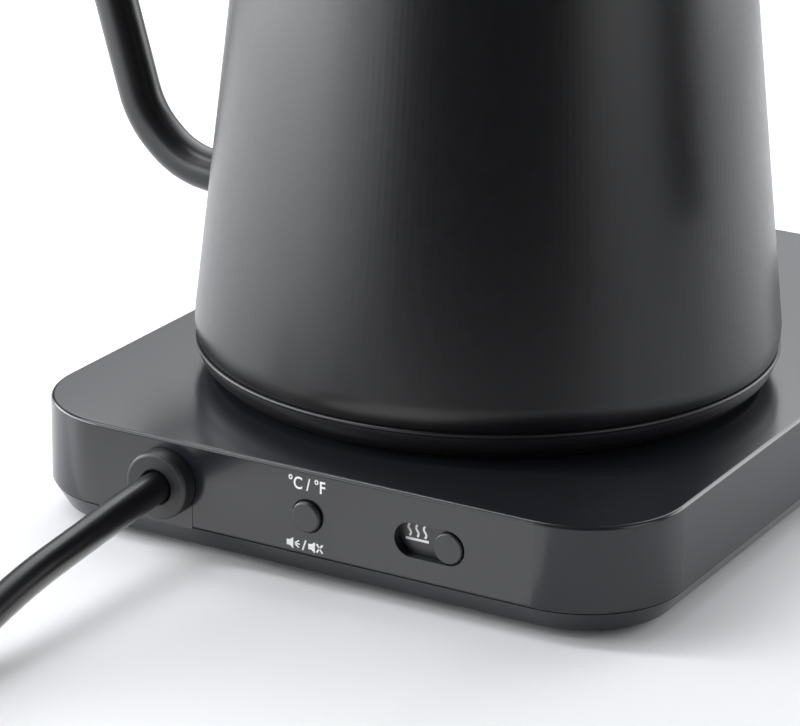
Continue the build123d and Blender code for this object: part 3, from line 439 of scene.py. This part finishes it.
def runTree(name, mesh, tree, values):
    # the tree's result as a plain mesh
    holder = bpy.data.objects.new(name, mesh)
    scene.collection.objects.link(holder)
    modifier = holder.modifiers.new(tree.name, "NODES")
    modifier.node_group = tree
    for socket in tree.interface.items_tree:
        if socket.in_out == "INPUT" and socket.name in values:
            modifier[socket.identifier] = values[socket.name]
    bpy.context.view_layer.update()
    result = bpy.data.meshes.new_from_object(holder.evaluated_get(bpy.context.evaluated_depsgraph_get()))
    result.name = name
    bpy.data.objects.remove(holder)
    return result


def outwards(mesh):
    shape = bmesh.new()
    shape.from_mesh(mesh)
    bmesh.ops.recalc_face_normals(shape, faces=shape.faces)
    shape.to_mesh(mesh)
    shape.free()
    return mesh


def turnProfile(name, profile, finish, facets=96, crease=38.0):
    line = bpy.data.meshes.new(name + "Profile")
    points = [(radius, 0.0, height) for radius, height in profile]
    line.from_pydata(points, [(index, index + 1) for index in range(len(points) - 1)], [])
    return outwards(runTree(name, line, turnedPiece, {
        "Facets": facets, "Profile Points": len(points), "Crease Angle": radians(crease), "Finish": finish,
    }))


# the moulded ring under the body, with the rounded lip that shows as a fine bright line
ringShape = {
    "lipRadius": 65.0, "lipRound": 0.42, "lipTop": 33.25, "foot": 27.2, "bore": 59.8, "collar": 61.4,
    "collarTop": 40.0, "collarOuter": 63.35, "step": (33.0, 35.0), "facets": 256,
}


def ringProfile(shape):
    lip, rounding, top, foot = (shape[key] for key in ("lipRadius", "lipRound", "lipTop", "foot"))
    bore, collar, outer, high = (shape[key] for key in ("bore", "collar", "collarOuter", "collarTop"))
    stepLow, stepHigh = shape["step"]
    points = [(bore, foot), (61.0, foot), (61.35, foot + 0.08), (61.6, foot + 0.32)]
    points += bentLine((61.75, foot + 0.5), (64.3, 29.6), (64.55, 32.2), 14)
    points += [(64.62, 32.36), (64.75, 32.48), (64.9, 32.58), (lip, 32.72)]
    steps = [radians(angle) for angle in range(0, 91, 15)]
    points += [(lip - rounding + rounding * cos(t), top - rounding + rounding * sin(t)) for t in steps]
    points += [(63.9, top), (outer, top), (outer, high), (collar, high), (collar, stepHigh)]
    points += [(bore, stepLow), (bore, foot)]
    return millimetres(*points)


addPiece(
    "lowerRing", turnProfile("lowerRing", ringProfile(ringShape), satinPolypropylene, ringShape["facets"]),
    "kettle", "kettle_plastic", "lower_ring",
)

# the steel body: a plain cone that tucks in at its foot, with a rolled rim and a short neck
bodyShape = {
    "coneRadius": 65.55, "slope": 0.1122, "seam": 33.06, "foot": 33.5, "footRadius": 64.35, "tuck": 39.06,
    "top": 168.0, "mouth": 44.0, "neck": 5.5, "skin": 0.8, "facets": 256, "rows": 12,
}


def bodyProfile(shape):
    def cone(height, inset=0.0):
        return shape["coneRadius"] - shape["slope"] * (height - shape["seam"]) - inset

    tuck, foot, top, skin = (shape[key] for key in ("tuck", "foot", "top", "skin"))
    rim, mouth = top - 1.8, shape["mouth"]

    def side(inset):
        low = (shape["footRadius"] - inset, foot)
        bend = bentLine(low, (cone(tuck, inset) + 0.318, tuck - 2.835), (cone(tuck, inset), tuck), 12)
        heights = [tuck + (rim - tuck) * step / shape["rows"] for step in range(1, shape["rows"])]
        return bend + [(cone(height, inset), height) for height in heights]

    points = side(0.0)
    points += bentLine((cone(rim), rim), (cone(top) + 0.05, top), (cone(top) - 2.0, top), 8)
    points += [(mouth, top), (mouth, top - shape["neck"]), (mouth + skin, top - shape["neck"])]
    points += [(mouth + skin, top - skin)]
    under = top - skin
    points += bentLine((cone(top) - 2.2, under), (cone(top) - skin, under), (cone(rim, skin), rim), 6)
    points += list(reversed(side(skin)))
    return millimetres(*points, points[0])


def bareInside(mesh, shape):
    # the coat stops at the mouth, and the inside is bare brushed steel
    mesh.materials.append(brushedSteel)
    steelIndex = len(mesh.materials) - 1
    halfSkin = shape["skin"] / 2
    for face in mesh.polygons:
        out, height = hypot(face.center.x, face.center.y) * 1000, face.center.z * 1000
        wall = shape["coneRadius"] - shape["slope"] * (height - shape["seam"]) - halfSkin
        inside = out < min(wall, shape["footRadius"] + (height - shape["foot"]) * 0.3 - halfSkin)
        if inside and height < shape["top"] - halfSkin:
            face.material_index = steelIndex
    return mesh


bodyMesh = turnProfile("bodyShell", bodyProfile(bodyShape), powderCoat, bodyShape["facets"])
addPiece("bodyShell", bareInside(bodyMesh, bodyShape), "kettle", "powder_coat", "body_shell")

# the gland round the lead: a soft disc with a rounded rim and a snug mouth
glandShape = {
    "centre": (-35.0, -77.2, 16.35), "rim": 7.45, "proud": 4.2, "rimRound": 0.9, "mouth": 3.62,
    "neck": 5.0, "flange": 6.2, "flangeAt": (-2.35, -4.3), "sleeve": (5.2, 4.1), "sleeveEnd": -22.0,
    "facets": 128,
}


def glandProfile(shape):
    rim, proud, rounding, mouth = (shape[key] for key in ("rim", "proud", "rimRound", "mouth"))
    points = [(0.0, 2.0), (mouth, 2.0), (mouth, proud - 0.6)]
    points += bentLine((mouth + 0.02, proud - 0.5), (mouth + 0.08, proud - 0.05), (mouth + 0.6, proud), 6)
    steps = [radians(angle) for angle in range(90, -1, -10)]
    points += [(rim - rounding + rounding * cos(t), proud - rounding + rounding * sin(t)) for t in steps]
    neck, flange = shape["neck"], shape["flange"]
    near, far = shape["flangeAt"]
    root, tip = shape["sleeve"]
    points += [(rim, 0.3), (rim - 0.25, 0.05), (neck, 0.05), (neck, near), (flange, near), (flange, far)]
    points += [(root, far), (tip, shape["sleeveEnd"]), (0.0, shape["sleeveEnd"])]
    return millimetres(*points)


glandMesh = turnProfile("cordGland", glandProfile(glandShape), glandRubber, glandShape["facets"])
glandMesh.transform(
    Matrix.Translation([value / 1000 for value in glandShape["centre"]]) @ Matrix.Rotation(pi / 2, 4, "X")
)
addPiece("cordGland", glandMesh, "base", "gland_rubber", "cord_gland")
print("turned pieces made")

# ---- the strap round the coil and the plug on the lead's end
tieShape = {
    "inner": 3.55, "thick": 0.85, "lap": 0.7, "halfWidth": 5.0, "edge": 0.3, "step": 8.0,
    "lapFrom": 64.0, "lapTo": 204.0,  # degrees round the band that its free end covers
}


def tieCentres(setup):
    # where the three turns cross the strap, as distance out from its middle and height, in mm
    centres = []
    for turn in range(3):
        x, y, z = coilPoint(setup, 360 * turn - setup["tieAngle"])
        out = hypot(x - setup["coilCentre"][0], y - setup["coilCentre"][1]) * cos(pi / setup["pointsPerTurn"])
        centres.append(((out - setup["topTurn"]) * 1000, z * 1000))
    return centres


def tiePath(shape, centres):
    # the band's outline round the turns: each spot is a turn's centre and the way out from it
    right, left, top = centres
    lean = degrees(atan2(right[0] - top[0], top[1] - right[1]))
    path = []
    for (x, z), start, end in ((right, -90, lean), (top, lean, 180 - lean), (left, 180 - lean, 270)):
        count = round((end - start) / shape["step"])
        path += [(x, z, start + (end - start) * index / count) for index in range(count + 1)]
    return path


def strapSections(path, near, far, halfWidth, edge):
    across = [
        (-halfWidth + edge, near), (halfWidth - edge, near),
        (halfWidth, near + edge), (halfWidth, far - edge),
        (halfWidth - edge, far), (-halfWidth + edge, far),
        (-halfWidth, far - edge), (-halfWidth, near + edge),
    ]
    return [
        [(x + out * cos(radians(turn)), side, z + out * sin(radians(turn))) for side, out in across]
        for x, z, turn in path
    ]


def loftedMesh(name, finish, *lofts, crease=35.0):
    # skins each run of sections; a run that is closed on itself has no ends
    shape = bmesh.new()
    for sections, closed in lofts:
        rings = [[shape.verts.new(point) for point in section] for section in sections]
        pairs = list(zip(rings, rings[1:])) + ([(rings[-1], rings[0])] if closed else [])
        for low, high in pairs:
            for index in range(len(low)):
                following = (index + 1) % len(low)
                shape.faces.new((low[index], low[following], high[following], high[index]))
        if not closed:
            shape.faces.new(rings[0])
            shape.faces.new(rings[-1])
    bmesh.ops.recalc_face_normals(shape, faces=shape.faces)
    mesh = bpy.data.meshes.new(name)
    shape.to_mesh(mesh)
    shape.free()
    mesh.polygons.foreach_set("use_smooth", [True] * len(mesh.polygons))
    mesh.set_sharp_from_angle(angle=radians(crease))
    mesh.materials.append(finish)
    mesh.transform(Matrix.Scale(0.001, 4))
    return mesh


def makeTie(shape, setup):
    path = tiePath(shape, tieCentres(setup))
    outer = shape["inner"] + shape["thick"]
    lapped = [spot for spot in path if shape["lapFrom"] <= spot[2] <= shape["lapTo"]]
    band = strapSections(path[:-1], shape["inner"], outer, shape["halfWidth"], shape["edge"])
    lap = strapSections(lapped, outer, outer + shape["lap"], shape["halfWidth"] - 0.15, shape["edge"])
    mesh = loftedMesh("cordTie", tieFabric, (band, True), (lap, False))
    centre = Matrix.Translation((*setup["coilCentre"], 0))
    turn = Matrix.Rotation(radians(setup["tieAngle"]), 4, "Z")
    mesh.transform(centre @ turn @ Matrix.Translation((setup["topTurn"], 0, 0)))
    return addPiece("cordTie", mesh, "base", "tie_rubber", "cord_tie")


plugShape = {
    "rear": -196.0, "reliefEnd": -157.0, "reliefStart": 4.2, "reliefFull": 6.6,
    "ringPitch": 4.0, "ringDepth": 0.55, "stepsPerRing": 8,
    "shoulder": (-156.4, -155.4, -152.0, -149.0, -147.0, -145.5), "shoulderStart": 7.2,
    "halfWide": 13.0, "halfTall": 12.8, "square": 4.2, "facets": 72,
    # Y and inset of the sections towards the rounded face
    "front": ((-140.0, 0.0), (-131.0, 0.15), (-127.2, 0.25), (-126.5, 0.5), (-126.1, 1.0), (-126.0, 1.6)),
    "ribs": 6, "ribSpacing": 2.4, "ribStart": -143.5, "ribHalf": (0.6, 0.65, 7.0),  # across, out, up
}


def roundedSection(shape, y, wide, tall, power):
    # a circle at power 2, squarer above that
    section = []
    for index in range(shape["facets"]):
        turn = 2 * pi * index / shape["facets"]
        c, s = cos(turn), sin(turn)
        grow = (abs(c) ** power + abs(s) ** power) ** (-1 / power)
        section.append((wide * grow * c, y, tall * grow * s))
    return section


def plugSections(shape):
    sections = []
    rear, end, pitch = shape["rear"], shape["reliefEnd"], shape["ringPitch"]
    wide, tall, square = shape["halfWide"], shape["halfTall"], shape["square"]
    count = int((end - rear) / pitch * shape["stepsPerRing"])
    for index in range(count + 1):
        y = rear + (end - rear) * index / count
        ringed = rear + pitch / 2 < y < end - 1
        groove = max(0.0, -cos(2 * pi * (y - rear) / pitch)) if ringed else 0.0
        radius = shape["reliefStart"] + (shape["reliefFull"] - shape["reliefStart"]) * index / count
        radius -= shape["ringDepth"] * groove
        sections.append(roundedSection(shape, y, radius, radius, 2))
    first, last = shape["shoulder"][0], shape["shoulder"][-1]
    for y in shape["shoulder"]:
        share = between(y, first - 3.0, last)
        half = shape["shoulderStart"] + (wide - shape["shoulderStart"]) * share
        sections.append(roundedSection(shape, y, half, half * tall / wide, 2 + (square - 2) * share))
    for y, inset in shape["front"]:
        sections.append(roundedSection(shape, y, wide - inset, tall - inset, square))
    return sections


def ribSections(shape, side):
    across, out, up = shape["ribHalf"]
    sections = []
    for index in range(13):
        height = -cos(pi * index / 12)
        thin = max(0.05, (1 - height ** 6)) ** 0.5
        sections.append([
            (side * (shape["halfWide"] + out * thin * sin(turn)), across * thin * cos(turn), up * height)
            for turn in (2 * pi * step / 12 for step in range(12))
        ])
    return sections


def rowTree():
    # stands copies of one shape in a straight row
    tree = bpy.data.node_groups.new("repeatedRow", "GeometryNodeTree")
    addInput(tree, "Shape", "NodeSocketGeometry")
    addInput(tree, "Count", "NodeSocketInt", 6)
    addInput(tree, "Spacing", "NodeSocketFloat", 0.0024)
    addInput(tree, "Finish", "NodeSocketMaterial")
    tree.interface.new_socket("Geometry", in_out="OUTPUT", socket_type="NodeSocketGeometry")
    given = addNode(tree, "NodeGroupInput").outputs
    step = addNode(tree, "ShaderNodeCombineXYZ", links={"Y": given["Spacing"]})
    row = addNode(tree, "GeometryNodeMeshLine", links={"Count": given["Count"], "Offset": step.outputs[0]})
    copies = addNode(
        tree, "GeometryNodeInstanceOnPoints", links={"Points": row.outputs[0], "Instance": given["Shape"]},
    )
    real = addNode(tree, "GeometryNodeRealizeInstances", links={"Geometry": copies.outputs[0]})
    finished = addNode(
        tree, "GeometryNodeSetMaterial", links={"Geometry": real.outputs[0], "Material": given["Finish"]},
    )
    addNode(tree, "NodeGroupOutput", links={"Geometry": finished.outputs[0]})
    return tree


def makePlug(shape, setup):
    middle = Matrix.Translation((setup["coilCentre"][0] - setup["topTurn"], 0, setup["plugHeight"]))
    body = loftedMesh("plugBody", glandRubber, (plugSections(shape), False))
    body.transform(middle)
    pair = loftedMesh("plugRibs", glandRubber, *((ribSections(shape, side), False) for side in (-1, 1)))
    ribs = runTree("plugRibs", pair, repeatedRow, {
        "Count": shape["ribs"], "Spacing": shape["ribSpacing"] / 1000, "Finish": glandRubber,
    })
    ribs.transform(middle @ Matrix.Translation((0, shape["ribStart"] / 1000, 0)))
    return [
        addPiece("plugBody", body, "base", "gland_rubber", "plug_body"),
        addPiece("plugRibs", ribs, "base", "gland_rubber"),
    ]


repeatedRow = rowTree()
leadPieces = [makeTie(tieShape, leadSetup), *makePlug(plugShape, leadSetup)]
leadPieces += [nodes["plug_blades"], nodes["plug_ground_pin"]]
print("tie and plug made")



# ---- printed marks on the rear face
printSetup = {
    "ink": 0.03,  # mm of ink on the surface
    "rear": -77.2,
    "plate": -74.9,  # the slider's plate, seen through the slot
    "unitText": "\u00b0C / \u00b0F",
    "unitCentre": (-0.2, 22.85),
    "unitSize": (8.8, 2.9),
    "soundCentre": (-0.45, 9.1),
    "heatCentre": (24.8, 16.6),
}


def placeOnRear(mesh, depth):
    # a flat drawing in X and Y, in mm, stands up on the rear face
    upright = Matrix.Rotation(pi / 2, 4, "X") @ Matrix.Scale(0.001, 4)
    mesh.transform(Matrix.Translation((0, depth / 1000, 0)) @ upright)


def inkMesh(name, outlines, thickness):
    shape = bmesh.new()
    for outline in outlines:
        face = shape.faces.new([shape.verts.new((x, y, 0)) for x, y in outline])
        face.normal_update()
        if face.normal.z < 0:
            face.normal_flip()
        raised = bmesh.ops.extrude_face_region(shape, geom=[face])["geom"]
        for vertex in raised:
            if isinstance(vertex, bmesh.types.BMVert):
                vertex.co.z += thickness
    bmesh.ops.recalc_face_normals(shape, faces=shape.faces)
    mesh = bpy.data.meshes.new(name)
    shape.to_mesh(mesh)
    shape.free()
    mesh.materials.append(whiteInk)
    return mesh


def stroke(points, width):
    # one narrow quad for each run of a drawn line
    outlines = []
    for start, end in zip(map(Vector, points), map(Vector, points[1:])):
        run = end - start
        across = Vector((-run.y, run.x)).normalized() * width / 2
        corners = (start + across, start - across, end - across, end + across)
        outlines.append([tuple(corner) for corner in corners])
    return outlines


def speaker(x, y):
    horn = [(-0.1, -0.62), (0.6, -0.62), (1.5, -1.25), (1.5, 1.25), (0.6, 0.62), (-0.1, 0.62)]
    return [[(x + a, y + b) for a, b in horn]]


def soundMarks(centre):
    x, y = centre
    marks = speaker(x - 4.5, y) + speaker(x + 0.75, y)
    for turn in (-32, 0, 32):
        along, up = cos(radians(turn)), 1.1 * sin(radians(turn))
        marks += stroke([(x - 2.75 + reach * along, y + reach * up) for reach in (0.15, 1.35)], 0.3)
    marks += stroke([(x - 0.75, y - 1.15), (x + 0.05, y + 1.15)], 0.36)
    marks += stroke([(x + 2.65, y - 0.95), (x + 4.1, y + 0.95)], 0.42)
    marks += stroke([(x + 2.65, y + 0.95), (x + 4.1, y - 0.95)], 0.42)
    return marks


def heatMarks(centre):
    x, y = centre
    marks = stroke([(x - 2.7, y - 1.5), (x + 2.7, y - 1.5)], 0.55)
    for column in (-1.8, 0.0, 1.8):
        wave = [(x + column + 0.32 * sin(step * pi / 4), y - 0.85 + step * 0.33) for step in range(9)]
        marks += stroke(wave, 0.5)
    return marks


def unitMarks(setup):
    text = bpy.data.curves.new("unitMarks", "FONT")
    text.body = setup["unitText"]
    text.align_x, text.align_y = "CENTER", "CENTER"
    text.size = 3.0
    text.extrude = setup["ink"] / 2
    text.offset = 0.035  # thickens the strokes
    holder = bpy.data.objects.new("unitMarks", text)
    scene.collection.objects.link(holder)
    bpy.context.view_layer.update()
    mesh = bpy.data.meshes.new_from_object(holder.evaluated_get(bpy.context.evaluated_depsgraph_get()))
    bpy.data.objects.remove(holder)
    xs, ys = ([vertex.co[axis] for vertex in mesh.vertices] for axis in (0, 1))
    wide, tall = setup["unitSize"]
    middle = Vector(((min(xs) + max(xs)) / 2, (min(ys) + max(ys)) / 2, 0))
    fit = Matrix.Diagonal((wide / (max(xs) - min(xs)), tall / (max(ys) - min(ys)), 1, 1))
    centre = Matrix.Translation((*setup["unitCentre"], setup["ink"] / 2))
    mesh.transform(centre @ fit @ Matrix.Translation(-middle))
    mesh.materials.clear()
    mesh.materials.append(whiteInk)
    return mesh


ink, rear = printSetup["ink"], printSetup["rear"]
soundMesh = inkMesh("soundMarks", soundMarks(printSetup["soundCentre"]), ink)
heatMesh = inkMesh("heatMarks", heatMarks(printSetup["heatCentre"]), ink)
for name, mesh, depth, body in (
    ("unitMarks", unitMarks(printSetup), rear, "base"),
    ("soundMarks", soundMesh, rear, "base"),
    ("heatMarks", heatMesh, printSetup["plate"], "keep_warm_slider"),
):
    placeOnRear(mesh, depth)
    addPiece(name, mesh, body, "base_plastic")
print("printed marks made")

# ---- the dial's ribs and scale, and the mark on the start button
dialShape = {
    "place": (-47.0, 97.0), "radius": 15.0, "low": 28.2, "high": 40.6, "ribs": 48, "ribHalf": (0.42, 0.35),
    "ticks": 36, "tickInner": 16.6, "tickOuter": 18.2, "tickWidth": 0.35, "baseTop": 26.0,
}
startMark = {"place": (47.0, 97.0), "radius": 2.6, "width": 0.5, "gap": 35.0}


def ringTree():
    # turns copies of one shape about the Z axis, an equal step apart
    tree = bpy.data.node_groups.new("repeatedRing", "GeometryNodeTree")
    addInput(tree, "Shape", "NodeSocketGeometry")
    addInput(tree, "Count", "NodeSocketInt", 48)
    addInput(tree, "Step", "NodeSocketFloat", 0.13)
    addInput(tree, "Finish", "NodeSocketMaterial")
    tree.interface.new_socket("Geometry", in_out="OUTPUT", socket_type="NodeSocketGeometry")
    given = addNode(tree, "NodeGroupInput").outputs
    index = addNode(tree, "GeometryNodeInputIndex").outputs[0]
    turn = addNode(tree, "ShaderNodeMath", {"operation": "MULTIPLY"}, {0: index, 1: given["Step"]})
    angles = addNode(tree, "ShaderNodeCombineXYZ", links={"Z": turn.outputs[0]})
    rotation = addNode(tree, "FunctionNodeEulerToRotation", links={"Euler": angles.outputs[0]})
    spots = addNode(tree, "GeometryNodeMeshLine", {"Offset": (0.0, 0.0, 0.0)}, {"Count": given["Count"]})
    copies = addNode(tree, "GeometryNodeInstanceOnPoints", links={
        "Points": spots.outputs[0], "Instance": given["Shape"], "Rotation": rotation.outputs[0],
    })
    real = addNode(tree, "GeometryNodeRealizeInstances", links={"Geometry": copies.outputs[0]})
    finished = addNode(
        tree, "GeometryNodeSetMaterial", links={"Geometry": real.outputs[0], "Material": given["Finish"]},
    )
    addNode(tree, "NodeGroupOutput", links={"Geometry": finished.outputs[0]})
    return tree


def dialRibs(shape):
    across, out = shape["ribHalf"]
    middle, half = (shape["high"] + shape["low"]) / 2, (shape["high"] - shape["low"]) / 2
    sections = []
    for index in range(11):
        height = -cos(pi * index / 10)
        thin = max(0.05, 1 - height ** 6) ** 0.5
        sections.append([
            (shape["radius"] + out * thin * sin(turn), across * thin * cos(turn), middle + half * height)
            for turn in (2 * pi * step / 10 for step in range(10))
        ])
    rib = loftedMesh("dialRibs", controlAbs, (sections, False))
    return runTree("dialRibs", rib, repeatedRing, {
        "Count": shape["ribs"], "Step": 2 * pi / shape["ribs"], "Finish": controlAbs,
    })


def dialTicks(shape):
    tickLine = [(0.0, shape["tickInner"]), (0.0, shape["tickOuter"])]
    tick = inkMesh("dialScale", stroke(tickLine, shape["tickWidth"]), printSetup["ink"])
    tick.transform(Matrix.Translation((0, 0, shape["baseTop"] / 1000)) @ Matrix.Scale(0.001, 4))
    return runTree("dialScale", tick, repeatedRing, {
        "Count": shape["ticks"], "Step": 2 * pi / shape["ticks"], "Finish": whiteInk,
    })


def startMarks(setup):
    # a broken ring with a bar through its gap
    gap, radius = setup["gap"], setup["radius"]
    turns = [radians(90 + gap + (360 - 2 * gap) * step / 24) for step in range(25)]
    marks = stroke([(radius * cos(turn), radius * sin(turn)) for turn in turns], setup["width"])
    return marks + stroke([(0, 0.4), (0, radius + 0.5)], setup["width"])


repeatedRing = ringTree()
for name, mesh, body, slot in (
    ("dialRibs", dialRibs(dialShape), "control_knob", "dial_plastic"),
    ("dialScale", dialTicks(dialShape), "base", "base_plastic"),
):
    mesh.transform(Matrix.Translation((*(value / 1000 for value in dialShape["place"]), 0)))
    addPiece(name, mesh, body, slot)
startMesh = inkMesh("startMark", startMarks(startMark), printSetup["ink"])
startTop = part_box("power_button")[1][2]
startMesh.transform(
    Matrix.Translation((*(value / 1000 for value in startMark["place"]), startTop)) @ Matrix.Scale(0.001, 4)
)
addPiece("startMark", startMesh, "power_button", "control_plastic")
print("dial and start marks made")



# ---- floor and light
studio = {
    "floorSize": 7.0,
    "floorColour": "#f2f2f3",
    "ambient": 0.10,
    "softEdge": 0.32,  # share of each face that fades out towards its edges
    "lights": [
        # name, centre, aimed at, width, height, brightness of its face
        ("overheadBox", (-0.20, 0.50, 0.60), (-0.08, 0.16, 0.0), 1.3, 1.0, 3.0),
        ("edgeLight", (-0.36, -0.20, 0.54), (-0.02, -0.05, 0.02), 0.09, 0.8, 17.0),
        ("leftBox", (-0.55, -0.24, 0.17), (0.0, -0.02, 0.05), 1.2, 0.36, 9.0),
        ("frontFill", (-0.25, -0.64, 0.14), (0.0, -0.08, 0.02), 0.30, 0.24, 3.5),
        ("frontWash", (-0.38, -0.45, 0.50), (-0.26, -0.36, 0.0), 0.5, 0.4, 2.6),
        ("rightStrip", (0.41, -0.07, 0.18), (0.0, 0.0, 0.06), 0.34, 0.38, 1.6),
        ("rightBox", (0.31, 0.42, 0.20), (0.0, 0.0, 0.07), 0.6, 0.40, 4.9),
        ("backBox", (-0.1, 1.0, 0.50), (0.0, 0.0, 0.1), 1.8, 1.0, 1.2),
    ],
    "blackCard": {"centre": (0.37, -0.65), "width": 0.9, "depth": 0.9, "turn": 29.6, "height": 0.001},
    "whiteCard": {
        "centre": (-0.05, -0.135), "width": 0.19, "depth": 0.10, "turn": 0.0, "height": 0.0012, "glow": 1.6,
    },
}


def softLight(name, centre, target, width, height, brightness, softEdge):
    lamp = bpy.data.lights.new(name, "AREA")
    lamp.shape = "RECTANGLE"
    lamp.size, lamp.size_y = width, height
    lamp.energy = pi * width * height * brightness
    lamp.color = (0.965, 0.98, 1.0)
    lamp.use_nodes = True
    tree = lamp.node_tree
    tree.nodes.clear()
    face = addNode(tree, "ShaderNodeNewGeometry").outputs["Parametric"]
    axes = addNode(tree, "ShaderNodeSeparateXYZ", links={"Vector": face})
    fades = []
    for axis in ("X", "Y"):
        inward = addNode(tree, "ShaderNodeMath", {"operation": "PINGPONG", 1: 0.5}, {0: axes.outputs[axis]})
        fades.append(addNode(
            tree, "ShaderNodeMapRange",
            {"interpolation_type": "SMOOTHSTEP", "From Min": 0.0, "From Max": softEdge},
            {"Value": inward.outputs["Value"]},
        ).outputs["Result"])
    strength = addNode(tree, "ShaderNodeMath", {"operation": "MULTIPLY"}, {0: fades[0], 1: fades[1]})
    glow = addNode(tree, "ShaderNodeEmission", links={"Strength": strength.outputs["Value"]})
    addNode(tree, "ShaderNodeOutputLight", links={"Surface": glow.outputs["Emission"]})
    light = bpy.data.objects.new(name, lamp)
    light.location = centre
    light.rotation_euler = (Vector(target) - Vector(centre)).to_track_quat("-Z", "Y").to_euler()
    light.visible_camera = False
    scene.collection.objects.link(light)


def flatSheet(name, width, depth, centre=(0, 0), turn=0.0, height=0.0):
    data = bpy.data.meshes.new(name)
    signs = ((-1, -1), (1, -1), (1, 1), (-1, 1))
    corners = [Vector((x * width / 2, y * depth / 2, height)) for x, y in signs]
    place = Matrix.Translation((*centre, 0)) @ Matrix.Rotation(radians(turn), 4, "Z")
    data.from_pydata([place @ corner for corner in corners], [], [(0, 1, 2, 3)])
    sheet = bpy.data.objects.new(name, data)
    scene.collection.objects.link(sheet)
    return sheet


def mirroredCard(name, card, material):
    sheet = flatSheet(name, card["width"], card["depth"], card["centre"], card["turn"], card["height"])
    sheet.data.materials.append(material)
    sheet.visible_camera = sheet.visible_shadow = sheet.visible_diffuse = False


def makeStudio(setup):
    floor = flatSheet("studioFloor", setup["floorSize"], setup["floorSize"])
    material, tree, shader = newMaterial("paleMattPaper")  # matt paper sweep: no gloss to mirror the base
    shader.inputs["Base Color"].default_value = hexColour(setup["floorColour"])
    shader.inputs["Roughness"].default_value = 0.9
    shader.inputs["Specular IOR Level"].default_value = 0.1
    floor.data.materials.append(material)
    # two cards on the table that only the glossy surfaces see
    material, tree, shader = newMaterial("blackFlock")
    shader.inputs["Base Color"].default_value = hexColour("#060606")
    shader.inputs["Roughness"].default_value = 1.0
    shader.inputs["Specular IOR Level"].default_value = 0.0
    mirroredCard("blackCard", setup["blackCard"], material)
    material, tree, shader = newMaterial("glowingWhite")
    shader.inputs["Base Color"].default_value = (0, 0, 0, 1)
    shader.inputs["Emission Color"].default_value = (1, 1, 1, 1)
    shader.inputs["Emission Strength"].default_value = setup["whiteCard"]["glow"]
    mirroredCard("whiteCard", setup["whiteCard"], material)
    world = bpy.data.worlds.new("studioRoom")
    world.use_nodes = True
    world.node_tree.nodes["Background"].inputs["Color"].default_value = (0.94, 0.96, 1.0, 1.0)
    world.node_tree.nodes["Background"].inputs["Strength"].default_value = setup["ambient"]
    scene.world = world
    for light in setup["lights"]:
        softLight(*light, setup["softEdge"])
    scene.view_settings.view_transform = "Standard"


makeStudio(studio)
print("floor and lights made")
